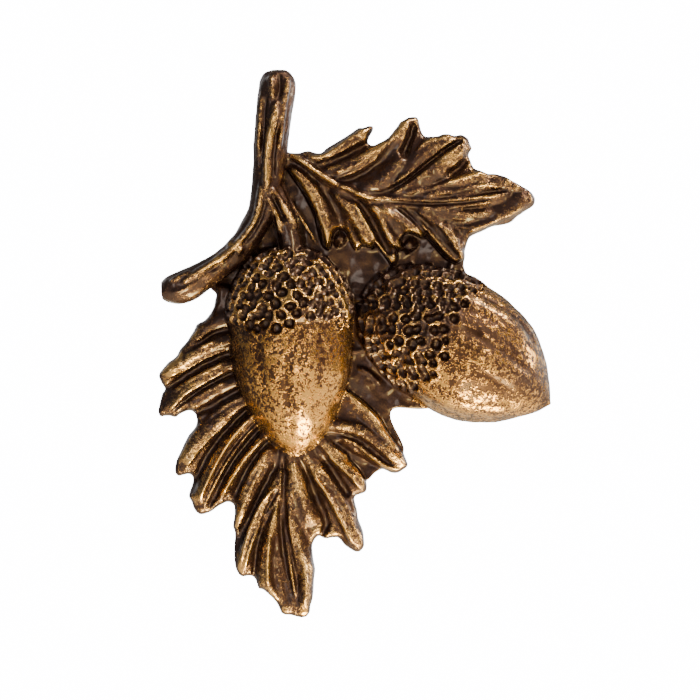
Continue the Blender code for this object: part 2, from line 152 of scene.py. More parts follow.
soft_box("key_right", (0.34, -0.46, 0.20), 0.10, 0.13, 1.5, "#ffe3a8")
soft_box("side_right", (0.50, 0.06, 0.08), 0.12, 0.20, 2.2, "#ffe9c6")
soft_box("fill_front", (-0.24, -0.62, 0.02), 0.20, 0.26, 0.75, "#fff4e4")
soft_box("top_right", (0.30, -0.08, 0.40), 0.22, 0.12, 5.2, "#ffe8bf")
soft_box("low", (0.035, -0.045, -0.112), 0.09, 0.03, 0.7, "#ffe090")
soft_box("low_front", (0.12, -0.44, -0.110), 0.16, 0.05, 0.8, "#ffe090")
soft_box("behind_left", (-0.40, 0.46, 0.26), 0.35, 0.35, 0.4, "#ffffff")
soft_box("behind_right", (0.40, 0.46, 0.06), 0.25, 0.30, 0.6, "#ffffff")

# The leaves. Each is a sheet of metal with a rounded rim, whose carved face rises and falls with the folds
# beside its veins. Their outlines are read off a face view, x to the right and y down, 548 units tall.
MM = 0.001
KNOB_HEIGHT = 63.5
UNIT = KNOB_HEIGHT / 548
SCREW_AT = (340, 334)
SHEET_SUNK = 0.4
UPPER_THICKNESS = 2.8
LOWER_THICKNESS = 2.0
THINNEST = 0.7
LEAF_VOXEL = 0.17
RIM_ROUNDING = 0.7
FOLD_SHARE = 0.85
VALLEY_SHARE = 0.55
STROKE_FADES_OVER = 0.18

UPPER_OUTLINE = [
    (283, 151), (290, 152.5), (300, 152.6), (304, 151.1), (309, 150.4), (312.5, 151.7), (317.5, 153),
    (322.5, 152.5), (324.8, 149.2), (330, 145.7), (339.7, 139.9), (349, 134.1), (354.7, 130), (358.5, 127.3),
    (364, 127.5), (367.7, 125.7), (371, 125.4), (374, 126), (373, 130), (370, 134.7), (368, 139.4),
    (367.5, 142.7), (370, 144.7), (374.3, 145.3), (378.9, 142.7), (384.5, 140), (389.7, 136), (394.3, 130),
    (397.6, 126), (400, 121.8), (404, 119.7), (408.5, 117), (413, 116.5), (417, 116.4), (418.7, 119.5),
    (420.3, 127), (422.5, 133.5), (425, 136.5), (430, 136.2), (438, 136), (443, 133.8), (449, 133.7),
    (453, 135.5), (457, 135.4), (460.5, 134), (464, 135.2), (467.5, 137.5), (469, 139.5), (470, 143.5),
    (472.5, 148.5), (470, 151), (468.7, 155), (470.5, 160), (472.5, 165.5), (475, 169), (480, 170),
    (484, 172), (488, 173.8), (494, 173.5), (500, 174.7), (507, 177), (511, 180), (516, 182.5),
    (522, 186), (528.5, 189.5), (532.5, 193), (535.5, 198), (534.5, 204.5), (532, 207), (527, 209.9),
    (521, 214), (516, 217.5), (513, 221), (507.5, 223.5), (500, 225), (493, 226), (487.5, 228.5),
    (481.5, 231.5), (475, 234), (470, 236.7), (467.5, 242), (466.3, 246.5), (465, 251), (464.5, 258),
    (457, 263.5), (450, 261), (444, 256.5), (436, 248), (430, 241), (427, 237.5), (421, 237), (415, 234),
    (409, 232.5), (404, 234), (401, 239), (402, 244), (404, 249), (400, 250), (396, 250), (398, 258),
    (393, 267), (389, 261), (385, 255), (380, 249.5), (375, 245), (372, 249), (368, 246.5), (364, 245),
    (360, 247), (356, 250), (352, 244), (348, 236), (344, 230), (339, 228), (334, 231), (332, 237),
    (331, 245), (329, 250), (324, 247), (320, 236), (314, 214), (304, 194), (292, 176), (280, 158),
]
LOWER_OUTLINE = [
    (230, 286), (214.8, 289.6), (216, 293), (215.5, 299.5), (213.6, 306.4), (211, 311.8), (207.6, 316.6),
    (204, 320.6), (199.8, 322.2), (195.8, 324.6), (195, 327.4), (192, 332.8), (189.6, 336.4), (187, 341),
    (182.4, 346), (179, 350), (176.6, 355.6), (171.6, 359.8), (168, 362), (163, 368), (159.6, 371.8),
    (158, 376), (160, 381), (162.6, 385.4), (165.5, 389.2), (162, 392.8), (160.3, 399), (159, 404.6),
    (157.7, 410), (157.8, 413), (160, 417.3), (164.4, 416), (169.8, 416), (173, 417), (175, 418),
    (178.2, 414.8), (183, 412.4), (188.2, 410.4), (192, 411), (195.3, 414.2), (196.6, 420), (195.6, 426),
    (192, 431), (188.5, 434.7), (186, 439.4), (183, 445.4), (180.6, 451.4), (177, 458), (175.2, 464),
    (174.4, 470), (175, 474), (178, 476.6), (183, 475.2), (188.4, 474), (191.4, 475), (193, 479),
    (192, 484.4), (190.3, 489), (188.6, 494), (188.4, 497.6), (191.4, 501.8), (192.6, 507), (195.4, 512),
    (199.6, 515), (206, 513.8), (210.6, 512), (215.4, 508.4), (219, 505.8), (222, 504.5), (225.6, 502.2),
    (231, 502.6), (234, 505.5), (234.4, 511), (234, 518), (233.2, 521.6), (232.5, 527), (234.5, 531.5),
    (234.8, 537), (234, 546), (234, 558), (235, 566.8), (237.8, 574), (242.8, 577.4), (248, 576),
    (252.4, 576.5), (255.4, 580), (257, 585), (258.2, 589.4), (262.6, 589.6), (266.8, 593.2),
    (272.8, 598.6), (276.2, 602.8), (279, 608.2), (281.2, 613.6), (284.8, 615.5), (290.8, 615.6),
    (296.2, 617.2), (301.6, 618.4), (306.4, 617.2), (309.8, 613), (310.2, 606.4), (312.4, 600.4),
    (313.6, 589.6), (314, 580), (315.2, 569.8), (313.6, 562), (312.4, 552.4), (312.2, 545.2),
    (314.2, 540.4), (317, 536.6), (320.2, 536.2), (323, 538.6), (326.8, 539.2), (331.6, 538), (338.8, 538),
    (340.6, 540.2), (344.8, 545.8), (349.6, 549), (355, 552.2), (359.2, 552.6), (362.2, 550),
    (364.4, 546.2), (364, 539.2), (363.2, 532), (360.4, 524.8), (358, 518.2), (357.2, 510.4),
    (355, 503.2), (354.6, 496), (360, 494.6), (366.4, 491.8), (367, 487), (366, 481), (358, 469),
    (348, 457), (357, 456), (368, 461), (380, 468), (387, 471), (391, 473.1), (395.3, 473.6),
    (399, 472.9), (403.7, 469.6), (407, 467.5), (408.4, 465), (407, 461.2), (404.7, 455.6),
    (402, 449), (395, 441), (387, 430), (380, 418), (372, 409), (362, 400), (352, 392), (340, 380),
    (330, 340),
]

# What is carved in each leaf, from its root outwards: the height or depth, the reach to the left and to the
# right of the way it runs, given once where both are the same, all in millimetres, and the way itself.
# Folds are broad, and drop steeply where one lobe lies over the next. Veins are thin lines raised on them,
# with valleys between.
UPPER_FOLDS = [
    (0.70, 0.80, [(282, 150), (300, 160), (320, 174), (335, 183), (350, 190), (365, 197), (402, 202)]),
    (0.50, 0.80, [(378, 199), (400, 202), (430, 204), (460, 202), (490, 199), (514, 195)]),
    (0.60, 0.70, 1.30, [(300, 156), (322, 159), (340, 149), (356, 138), (371, 127)]),
    (0.95, 0.45, 2.00, [(318, 174), (338, 166), (357, 159), (375, 147), (392, 133), (405, 120), (415, 118)]),
    (0.85, 1.30, 1.20, [(356, 193), (374, 187), (388, 176), (400, 164), (408, 154)]),
    (0.70, 1.40, 0.70, [(394, 184), (410, 168), (424, 154), (438, 143), (455, 137)]),
    (0.75, 0.50, 1.70, [(390, 196), (410, 186), (430, 171), (448, 157), (464, 144)]),
    (0.65, 0.90, 1.30, [(410, 197), (435, 192), (455, 184), (475, 176), (494, 176)]),
    (0.60, 1.10, 0.80, [(450, 195), (478, 189), (505, 184), (525, 190)]),
    (0.75, 0.45, 1.70, [(530, 194), (519, 207), (501, 218), (481, 227), (466, 233)]),
    (0.55, 1.30, [(428, 209), (450, 216), (470, 219), (494, 214)]),
    (0.80, 1.60, 0.55, [(416, 209), (434, 220), (448, 234), (460, 254)]),
    (0.80, 0.90, 1.50, [(376, 204), (391, 212), (407, 222), (424, 235)]),
    (0.80, 0.90, 0.50, [(369, 203), (379, 215), (385, 230), (393, 243), (402, 249)]),
    (0.90, 1.60, 0.80, [(331, 188), (344, 201), (354, 217), (362, 233), (371, 247)]),
    (0.95, 1.30, 0.55, [(288, 166), (304, 183), (315, 201), (323, 222), (328, 246)]),
]
UPPER_VEINS = [
    (0.42, 0.36, [(288, 152), (300, 160), (320, 174), (335, 183), (350, 190), (366, 197), (384, 200)]),
    (0.34, 0.30, [(376, 197), (398, 199), (430, 200.5), (460, 199), (490, 196), (514, 192)]),
    (0.34, 0.30, [(380, 204), (400, 206), (430, 208), (465, 206), (492, 202)]),
    (0.34, 0.28, [(386, 188), (410, 173), (430, 157), (447, 144), (463, 136)]),
    (0.36, 0.28, [(390, 195), (412, 180.5), (432, 164.5), (450, 151), (465, 142)]),
    (0.30, 0.30, [(334, 173), (352, 167), (368, 159)]),
    (0.26, 0.28, [(330, 180), (350, 174), (368, 165), (380, 156)]),
    (0.32, 0.28, [(308, 157), (322, 156), (337, 147), (352, 136), (368, 127)]),
    (0.26, 0.28, [(300, 184), (312, 203), (321, 226)]),
    (0.36, 0.28, [(352, 199), (364, 220), (378, 243), (392, 265)]),
    (0.26, 0.26, [(382, 208), (398, 219), (413, 231)]),
    (0.30, 0.28, [(399, 243), (401, 236), (408, 231), (417, 233), (426, 239)]),
    (0.36, 0.30, [(400, 204), (415, 217), (429, 232), (444, 249), (456, 261)]),
    (0.26, 0.26, [(410, 205), (424, 217), (438, 231), (452, 248)]),
    (0.26, 0.30, [(438, 208), (456, 213), (476, 214), (494, 210)]),
    (0.26, 0.28, [(444, 222), (458, 227), (474, 226)]),
    (0.32, 0.30, [(402, 194), (430, 188), (455, 180), (480, 173), (500, 175)]),
    (0.24, 0.28, [(420, 197), (450, 192), (478, 185), (504, 188)]),
    (0.30, 0.30, [(500, 175), (516, 183), (530, 192), (531, 200), (520, 210), (505, 220)]),
    (0.30, 0.28, [(414, 155), (422, 144), (438, 137), (456, 136), (464, 140), (463, 150), (458, 158)]),
    (0.28, 0.28, [(452, 226), (461, 236), (463, 247), (459, 260)]),
]
UPPER_VALLEYS = [
    (0.55, 0.50, [(286, 158), (304, 171), (325, 186), (345, 197), (364, 204)]),
    (0.45, 0.45, [(306, 157), (325, 170), (345, 181), (365, 190), (388, 194)]),
    (1.40, 0.90, [(280, 172), (290, 190), (300, 208), (310, 226), (318, 243)]),
    (0.85, 0.65, [(320, 184), (334, 204), (342, 224), (347, 240)]),
    (1.05, 0.60, [(357, 199), (370, 218), (380, 236), (391, 256)]),
    (0.60, 0.38, [(399, 207), (413, 220), (427, 236), (442, 253)]),
    (1.10, 0.55, [(454, 226), (461, 237), (464, 252)]),
    (0.95, 0.60, [(312, 167), (334, 160), (352, 151), (370, 142)]),
    (0.80, 0.60, [(334, 184), (356, 177), (374, 165), (390, 150), (403, 135)]),
    (1.60, 0.60, [(414, 122), (410, 137), (405, 150), (403, 159)]),
    (0.80, 0.36, [(388, 191.5), (411, 176.8), (431, 160.8), (449, 147.5), (463, 139)]),
    (1.30, 0.60, [(472, 150), (466, 160), (458, 169), (446, 176)]),
    (0.45, 0.32, [(392, 202), (430, 204.2), (462, 202.4), (494, 198)]),
    (0.45, 0.70, [(436, 182), (460, 189), (486, 190), (508, 188)]),
    (0.50, 0.60, [(430, 214), (450, 224), (476, 222), (498, 215)]),
]
LOWER_FOLDS = [
    (0.50, 0.90, 1.10, [(236, 316), (218, 321), (205, 330), (194, 343)]),
    (0.80, 0.75, 1.30, [(236, 338), (214, 346), (196, 355), (180, 365), (163, 377)]),
    (0.75, 0.80, [(238, 362), (220, 369), (200, 380), (182, 393), (164, 412)]),
    (0.60, 0.80, 0.90, [(244, 378), (222, 388), (204, 398), (188, 409)]),
    (0.95, 0.80, 1.60, [(254, 394), (236, 408), (218, 424), (200, 441), (182, 466)]),
    (0.80, 0.55, 1.20, [(262, 410), (246, 425), (228, 445), (212, 471), (198, 505)]),
    (0.75, 0.80, [(268, 430), (252, 449), (236, 470), (221, 497)]),
    (0.95, 1.60, 0.80, [(272, 444), (258, 464), (248, 484), (241, 506), (237, 528)]),
    (0.80, 0.80, 0.90, [(278, 480), (264, 506), (254, 528), (246, 552), (241, 572)]),
    (0.90, 0.80, 1.40, [(281, 470), (276, 502), (271, 530), (267, 556), (267, 580), (277, 604)]),
    (0.90, 1.30, 0.80, [(283, 468), (288, 500), (293, 530), (300, 556), (305, 580), (303, 610)]),
    (1.05, 1.30, 1.10, [(287, 434), (291, 458), (297, 484), (303, 504), (312, 527)]),
    (0.85, 1.60, 0.55, [(294, 440), (306, 462), (321, 484), (335, 508), (347, 530), (359, 549)]),
    (0.80, 1.20, 0.70, [(304, 428), (322, 444), (338, 461), (352, 475), (364, 489)]),
    (0.75, 1.10, 0.75, [(316, 424), (338, 427), (356, 430), (372, 440), (390, 455), (405, 466)]),
    (0.95, 0.45, 1.80, [(334, 376), (350, 390), (362, 400), (374, 412), (383, 427), (391, 438), (401, 450)]),
]
LOWER_VEINS = [
    (0.32, 0.30, [(226, 350), (207, 357), (192, 366), (168, 378)]),
    (0.26, 0.28, [(216, 340), (198, 348), (184, 357)]),
    (0.34, 0.26, [(228, 360), (198, 375), (180, 386), (165, 400)]),
    (0.30, 0.26, [(228, 370), (204, 383), (186, 394), (168, 412)]),
    (0.30, 0.28, [(226, 381), (204, 392), (188, 402), (174, 414)]),
    (0.26, 0.28, [(244, 396), (224, 406), (206, 420)]),
    (0.32, 0.30, [(234, 418), (214, 435), (198, 452), (183, 472)]),
    (0.38, 0.26, [(258, 411), (240, 428), (224, 450), (210, 476), (199, 500)]),
    (0.36, 0.26, [(263, 419), (246, 436), (229, 459), (214, 485), (203, 508)]),
    (0.30, 0.28, [(264, 438), (247, 456), (232, 478), (219, 502)]),
    (0.22, 0.28, [(263, 466), (250, 490), (240, 514)]),
    (0.36, 0.26, [(278, 485), (259, 506), (247, 536), (239, 567)]),
    (0.34, 0.26, [(283, 489), (266, 516), (252, 543), (244, 572)]),
    (0.48, 0.30, [(281, 448), (281, 488), (284, 526), (289, 560), (296, 598)]),
    (0.26, 0.24, [(277, 512), (279, 546), (285, 578), (293, 606)]),
    (0.24, 0.24, [(288, 512), (292, 542), (298, 574)]),
    (0.26, 0.30, [(270, 528), (268, 558), (268, 586)]),
    (0.28, 0.30, [(298, 540), (304, 564), (307, 588), (304, 608)]),
    (0.26, 0.28, [(289, 474), (294, 500), (301, 520), (311, 538)]),
    (0.38, 0.28, [(308, 470), (327, 494), (341, 521), (354, 549)]),
    (0.28, 0.28, [(318, 464), (334, 485), (348, 509), (358, 536)]),
    (0.30, 0.28, [(332, 446), (345, 456), (357, 468), (365, 483)]),
    (0.28, 0.28, [(328, 456), (348, 474), (361, 490)]),
    (0.36, 0.28, [(337, 436), (355, 444), (371, 456), (386, 467), (402, 470)]),
    (0.26, 0.28, [(360, 424), (377, 438), (393, 453), (405, 464)]),
]
LOWER_VALLEYS = [
    (0.55, 0.50, [(236, 329), (214, 334), (196, 346), (181, 358)]),
    (0.95, 0.55, [(240, 351), (218, 358), (198, 368), (180, 380), (164, 389)]),
    (0.50, 0.40, [(240, 370), (220, 379), (202, 389), (184, 403)]),
    (0.85, 0.55, [(248, 387), (226, 398), (208, 408), (195, 413)]),
    (0.95, 0.60, [(256, 402), (240, 417), (222, 436), (206, 458), (195, 482), (189, 497)]),
    (0.95, 0.50, [(265, 424), (249, 442), (232, 464), (218, 490), (207, 510)]),
    (0.75, 0.50, [(270, 440), (256, 457), (244, 477), (232, 501)]),
    (0.95, 0.60, [(277, 464), (266, 484), (254, 506), (243, 528), (236, 552)]),
    (1.05, 0.60, [(279, 488), (269, 512), (261, 536), (256, 560), (255, 584)]),
    (0.85, 0.70, [(283, 456), (283, 490), (283, 520), (283, 552), (286, 580), (291, 604)]),
    (1.05, 0.60, [(303, 460), (311, 484), (320, 506), (327, 524), (320, 538)]),
    (0.95, 0.55, [(322, 456), (338, 478), (350, 498)]),
    (0.95, 0.50, [(334, 442), (352, 454), (365, 467), (375, 476)]),
    (0.55, 0.38, [(342, 434), (360, 440), (376, 452), (392, 466)]),
    (1.40, 1.00, [(364, 390), (382, 405), (392, 420), (400, 436), (406, 450)]),
]


def drawn(points):
    """Points of the face view as millimetres right of and above the screw's axis."""
    points = np.array(points, float)
    return np.column_stack([(points[:, 0] - SCREW_AT[0]) * UNIT, (SCREW_AT[1] - points[:, 1]) * UNIT])


def rounded(points, closed=False, step=0.35):
    """A smooth path through the points, in steps of about that many millimetres."""
    count = len(points)
    ends = [points[i % count] if closed else points[min(max(i, 0), count - 1)] for i in range(-1, count + 2)]
    path = []
    for i in range(count if closed else count - 1):
        a, b, c, d = ends[i : i + 4]
        pieces = max(1, int(np.linalg.norm(c - b) / step))
        for t in np.arange(pieces)[:, None] / pieces:
            curve = 2 * b + (c - a) * t + (2 * a - 5 * b + 4 * c - d) * t**2 + (3 * b - a - 3 * c + d) * t**3
            path.append(curve / 2)
    path.append(path[0] if closed else points[-1])
    return np.array(path)


def along(points, path, reach):
    """For points within reach of the path: how far they lie to its left, or below nought to its right, and
    their share of the way along it."""
    away = np.full(len(points), 1e3)
    share = np.zeros(len(points))
    chosen = np.flatnonzero(np.all((points > path.min(0) - reach) & (points < path.max(0) + reach), axis=1))
    some = points[chosen]
    nearest = np.full(len(some), 1e3)
    side = np.ones(len(some))
    place = np.zeros(len(some))
    for i in range(len(path) - 1):
        run = path[i + 1] - path[i]
        off = some - path[i]
        t = np.clip(off @ run / max(run @ run, 1e-12), 0, 1)
        gap = np.linalg.norm(off - t[:, None] * run, axis=1)
        closer = gap < nearest
        nearest[closer] = gap[closer]
        side[closer] = np.where(run[0] * off[closer, 1] - run[1] * off[closer, 0] < 0, -1, 1)
        place[closer] = (i + t[closer]) / (len(path) - 1)
    away[chosen] = nearest * side
    share[chosen] = place
    return away, share


def carved(points, strokes):
    """The relief of all strokes at each point: where they cross, the highest or deepest counts."""
    relief = np.zeros(len(points))
    for height, *reach, path in strokes:
        away, share = along(points, rounded(drawn(path), step=0.8), max(reach))
        ends = np.clip(np.minimum(share, 1 - share) / STROKE_FADES_OVER, 0, 1)
        ends = ends * (2 - ends)
        across = np.abs(away) / np.where(away > 0, reach[0], reach[-1]) / (0.6 + 0.4 * ends)
        relief = np.maximum(relief, height * ends * np.clip(1 - across**2, 0, 1) ** 1.2)
    return relief


def grain(points, size, seed=0.0):
    """Smooth noise from -1 to 1 at each point, whose lumps are about that many millimetres wide."""
    return np.array([noise.noise((p[0] / size, p[1] / size, p[2] / size + seed)) for p in points])


def points_of(mesh):
    """The mesh's points, in millimetres."""
    points = np.empty(len(mesh.vertices) * 3, np.float32)
    mesh.vertices.foreach_get("co", points)
    return points.reshape(-1, 3).astype(float) * 1000


def set_points(mesh, points):
    """Moves the mesh's points to those places, in millimetres."""
    mesh.vertices.foreach_set("co", (points * MM).astype(np.float32).ravel())
    mesh.update()


def plain_mesh(thing):
    """The mesh that an object makes with its modifiers, in the object's place. The object is removed."""
    bpy.context.view_layer.update()
    graph = bpy.context.evaluated_depsgraph_get()
    mesh = bpy.data.meshes.new_from_object(thing.evaluated_get(graph))
    mesh.transform(thing.matrix_world)
    bpy.data.objects.remove(thing)
    return mesh


def refined(mesh, voxel):
    """The mesh's outer skin, drawn again with even small faces. What overlaps becomes one body."""
    thing = holder("blank", mesh)
    skin = thing.modifiers.new("Skin", "REMESH")
    skin.mode = "VOXEL"
    skin.voxel_size = voxel * MM
    return plain_mesh(thing)


def sheet_metal(outline, thickness, voxel):
    """A flat sheet of that outline, from a little behind the casting's back to its thickness."""
    curve = bpy.data.curves.new("outline", "CURVE")
    curve.dimensions = "2D"
    curve.fill_mode = "BOTH"
    curve.extrude = (thickness + SHEET_SUNK) / 2 * MM
    path = outline[:-1]
    spline = curve.splines.new("POLY")
    spline.points.add(len(path) - 1)
    for point, (x, y) in zip(spline.points, path):
        point.co = (x * MM, y * MM, 0, 1)
    spline.use_cyclic_u = True
    thing = holder("sheet", curve)
    thing.location.z = (thickness - SHEET_SUNK) / 2 * MM
    return refined(plain_mesh(thing), voxel)


def leaf(outline_points, thickness, folds, veins, valleys, seed):
    """A carved leaf: the sheet's upper half follows the height that its veins and folds give it."""
    outline = rounded(drawn(outline_points), closed=True)
    mesh = sheet_metal(outline, thickness, LEAF_VOXEL)
    points = points_of(mesh)
    flat = points[:, :2]
    rim = np.abs(along(flat, outline, 100.0)[0])
    height = thickness + 0.3 * (1 - np.exp(-rim / 2.0))
    height += FOLD_SHARE * carved(flat, folds) + carved(flat, veins) - VALLEY_SHARE * carved(flat, valleys)
    height += 0.13 * grain(points * (1, 1, 0), 1.2, seed) + 0.06 * grain(points * (1, 1, 0), 0.45, seed)
    rounding = np.clip(1 - rim / RIM_ROUNDING, 0, 1)
    height -= RIM_ROUNDING * (1 - np.sqrt(1 - rounding**2))
    raised = np.clip(points[:, 2] / thickness, 0, 1)
    points[:, 2] = np.where(points[:, 2] > 0, raised * np.maximum(height, THINNEST), points[:, 2])
    set_points(mesh, points)
    return mesh


pieces = [
    leaf(UPPER_OUTLINE, UPPER_THICKNESS, UPPER_FOLDS, UPPER_VEINS, UPPER_VALLEYS, 3.0),
    leaf(LOWER_OUTLINE, LOWER_THICKNESS, LOWER_FOLDS, LOWER_VEINS, LOWER_VALLEYS, 7.0),
]

# The web behind them: a thin plate that fills the gaps between the leaves, the twig and the acorns. It has
# a few ridges as the mould left them, and two round lumps in the notches of the upper leaf.
WEB_THICKNESS = 1.4
WEB_VOXEL = 0.2
WEB_OUTLINE = [
    (262, 205), (266, 150), (290, 154), (340, 215), (440, 235), (464, 250), (464, 265), (468, 275),
    (478, 284), (500, 330), (450, 400), (425, 409), (397, 408), (391, 412), (392, 422), (402, 442),
    (404, 452), (396, 466), (380, 470), (373, 475), (366, 481), (345, 478), (240, 400), (215, 325),
    (214, 304), (216, 293), (210, 286), (225, 255),
]
WEB_RIDGES = [
    (0.45, 0.45, [(350, 298), (362, 300), (374, 301), (384, 299)]),
    (0.35, 0.30, [(352, 310), (364, 311), (378, 310)]),
    (0.18, 0.30, [(352, 352), (366, 350), (382, 354)]),
    (0.40, 0.30, [(356, 366), (368, 372), (380, 384)]),
    (0.55, 0.35, [(451, 262), (450, 270), (449, 279)]),
    (1.00, 1.00, [(336, 236), (340, 239), (344, 243)]),
    (1.00, 1.00, [(406, 242), (410, 245), (413, 250)]),
]
web_path = rounded(drawn(WEB_OUTLINE), closed=True)
web = sheet_metal(web_path, WEB_THICKNESS, WEB_VOXEL)
points = points_of(web)
lumps = 0.32 * grain(points * (1, 1, 0), 2.0, 11.0) + 0.08 * grain(points * (1, 1, 0), 0.7, 12.0)
lumps += carved(points[:, :2], WEB_RIDGES)
points[:, 2] += np.where(points[:, 2] > WEB_THICKNESS - 0.5, lumps, 0)
set_points(web, points)
pieces.append(web)

# The twig, its side branch and the acorn's stalk: bars whose bark is drawn as long uneven furrows with
# knobbles. Each point of a path has its share of the bar's full width.
TWIG_WIDTH = 4.4
TWIG_CENTRE_HEIGHT = 2.7
STALK_WIDTH = 2.6
FURROW_DEPTH = 0.12
STALK_CENTRE_HEIGHT = 2.9
TWIG_PATH = [
    (279, 69.6, 0.3), (279, 72, 0.62), (278.5, 76, 0.84), (278, 82, 0.97), (277, 92, 0.99),
    (275, 105, 0.96), (273, 122, 0.93), (271, 140, 0.91), (269, 165, 0.86), (266.5, 188, 0.80),
    (262, 210, 0.75), (253, 229, 0.72), (241, 247, 0.70), (226, 261, 0.70), (209, 272, 0.74),
    (195, 281, 0.84), (183, 287, 0.88), (173, 289, 0.80), (166, 290, 0.66), (161, 290.5, 0.45),
]
STALK_PATH = [(268, 160, 1.0), (273, 185, 1.0), (281, 208, 1.0), (289, 235, 1.05), (293, 262, 1.1)]
TWIG_RIDGES = [
    (0.35, 0.42, [(270, 76), (272, 88), (273, 100)]),
    (0.35, 0.42, [(288, 76), (287, 88), (284, 104), (282, 122)]),
    (0.60, 0.62, [(277, 100), (274, 118), (270, 138), (267, 158), (267, 180), (264, 196)]),
    (0.30, 0.30, [(283, 118), (281, 135), (279, 150)]),
    (0.28, 0.28, [(262, 92), (260, 112), (259, 135), (258, 160)]),
    (0.55, 0.55, [
        (262, 180), (260, 203), (255, 221), (247, 234), (234, 248), (216, 262), (198, 273), (180, 284),
    ]),
    (0.40, 0.38, [(212, 270), (198, 279), (186, 287), (172, 293)]),
    (0.35, 0.34, [(192, 272), (180, 277), (170, 283)]),
    (0.45, 0.60, [(228, 243), (236, 247), (243, 252)]),
    (0.50, 0.50, [(270, 187), (280, 202), (289, 216), (297, 230)]),
    (0.40, 0.36, [(265, 196), (272, 206), (278, 217), (281, 234)]),
]
TWIG_GROOVES = [
    (0.45, 0.34, [(280, 74), (280, 88), (279, 100)]),
    (0.40, 0.32, [(266, 96), (264, 118), (263, 145), (261, 170)]),
    (0.40, 0.30, [(279, 124), (276, 140), (274, 160), (275, 178)]),
    (0.40, 0.32, [(266, 200), (262, 216), (254, 231), (243, 244)]),
    (0.35, 0.30, [(222, 262), (206, 273), (190, 284), (176, 290)]),
    (0.45, 0.36, [(272, 192), (278, 206), (284, 222)]),
]


def geometry_tree(name, inputs):
    """A new tree that gives geometry, and its input node. An input is a number or its kind of socket."""
    tree = bpy.data.node_groups.new(name, "GeometryNodeTree")
    for label, value in inputs.items():
        kind = "Float" if isinstance(value, float) else value
        socket = tree.interface.new_socket(label, in_out="INPUT", socket_type="NodeSocket" + kind)
        if kind == "Float":
            socket.default_value = value
    tree.interface.new_socket("Geometry", in_out="OUTPUT", socket_type="NodeSocketGeometry")
    return tree, add_node(tree, "NodeGroupInput")


def outwards(tree, distance):
    """A move along the surface's normals."""
    normal = add_node(tree, "GeometryNodeInputNormal")
    shift = add_node(tree, "ShaderNodeVectorMath", {0: normal, "Scale": distance}, operation="SCALE")
    return {"Offset": shift}


def end_tree(tree, geometry, move):
    """Moves the geometry's points and gives it out, with its instances made real."""
    moved = add_node(tree, "GeometryNodeSetPosition", {"Geometry": geometry, **move})
    real = add_node(tree, "GeometryNodeRealizeInstances", {"Geometry": moved})
    add_node(tree, "NodeGroupOutput", {"Geometry": real})


bark, given = geometry_tree(
    "Bark",
    {
        "Geometry": "Geometry",
        "Width": TWIG_WIDTH * MM,
        "Furrow Depth": FURROW_DEPTH * MM,
        "Furrows": 3.2,
        "Seed": 2.0,
    },
)
even = add_node(bark, "GeometryNodeResampleCurve", {"Curve": given.outputs["Geometry"], "Count": 220})
run = add_node(bark, "GeometryNodeSplineParameter")
kept = add_node(bark, "GeometryNodeCaptureAttribute", {"Geometry": even})
kept.capture_items.new("FLOAT", "Run")
bark.links.new(run.outputs["Length"], kept.inputs["Run"])
half = maths(bark, "MULTIPLY", given.outputs["Width"], 0.5)
ring = add_node(bark, "GeometryNodeCurvePrimitiveCircle", {"Resolution": 64, "Radius": half})
turn = add_node(bark, "GeometryNodeSplineParameter")
round_it = add_node(bark, "GeometryNodeCaptureAttribute", {"Geometry": ring})
round_it.capture_items.new("FLOAT", "Turn")
bark.links.new(turn.outputs["Factor"], round_it.inputs["Turn"])
thinned = add_node(bark, "GeometryNodeInputRadius")
swept = add_node(
    bark,
    "GeometryNodeCurveToMesh",
    {"Curve": kept, "Profile Curve": round_it, "Scale": thinned, "Fill Caps": True},
)
angle = maths(bark, "MULTIPLY", round_it.outputs["Turn"], math.tau)
cosine = maths(bark, "COSINE", angle)
sine = maths(bark, "SINE", angle)
reach = maths(bark, "MULTIPLY", kept.outputs["Run"], 160.0)
spot = add_node(bark, "ShaderNodeCombineXYZ", {0: cosine, 1: sine, 2: reach})
furrow = add_node(
    bark,
    "ShaderNodeTexNoise",
    {"Vector": spot, "W": given.outputs["Seed"], "Scale": given.outputs["Furrows"], "Detail": 2.0},
    noise_dimensions="4D",
)
depth = maths(bark, "SUBTRACT", furrow, 0.5)
depth = maths(bark, "MULTIPLY", depth, given.outputs["Furrow Depth"])
depth = maths(bark, "MULTIPLY", depth, 4.0)
end_tree(bark, swept, outwards(bark, depth))


def grown(thing, tree, values):
    """The mesh that the tree makes of a thing, with those inputs. They go by their names in the tree."""
    step = thing.modifiers.new(tree.name, "NODES")
    step.node_group = tree
    for item in tree.interface.items_tree:
        if item.item_type == "SOCKET" and item.in_out == "INPUT" and item.name in values:
            step[item.identifier] = values[item.name]
    return plain_mesh(thing)


def bar(path, width, heights, voxel=LEAF_VOXEL, furrow_depth=FURROW_DEPTH, seed=2.0):
    """A closed bar of bark along the path, whose centre rises evenly from one height to the other."""
    shares = np.array([point[2] for point in path])
    flat = drawn([point[:2] for point in path])
    rise = np.linspace(heights[0], heights[1], len(path))
    smooth = rounded(np.column_stack([flat, rise, shares]), step=0.5)
    curve = bpy.data.curves.new("bar", "CURVE")
    curve.dimensions = "3D"
    spline = curve.splines.new("POLY")
    spline.points.add(len(smooth) - 1)
    for point, (x, y, z, share) in zip(spline.points, smooth):
        point.co = (x * MM, y * MM, z * MM, 1)
        point.radius = share
    values = {"Width": width * MM, "Furrow Depth": furrow_depth * MM, "Seed": seed}
    return refined(grown(holder("bar", curve), bark, values), voxel)


def normals_of(mesh):
    """The directions in which the mesh's points look."""
    normals = np.empty(len(mesh.vertices) * 3, np.float32)
    mesh.vertex_normals.foreach_get("vector", normals)
    return normals.reshape(-1, 3)


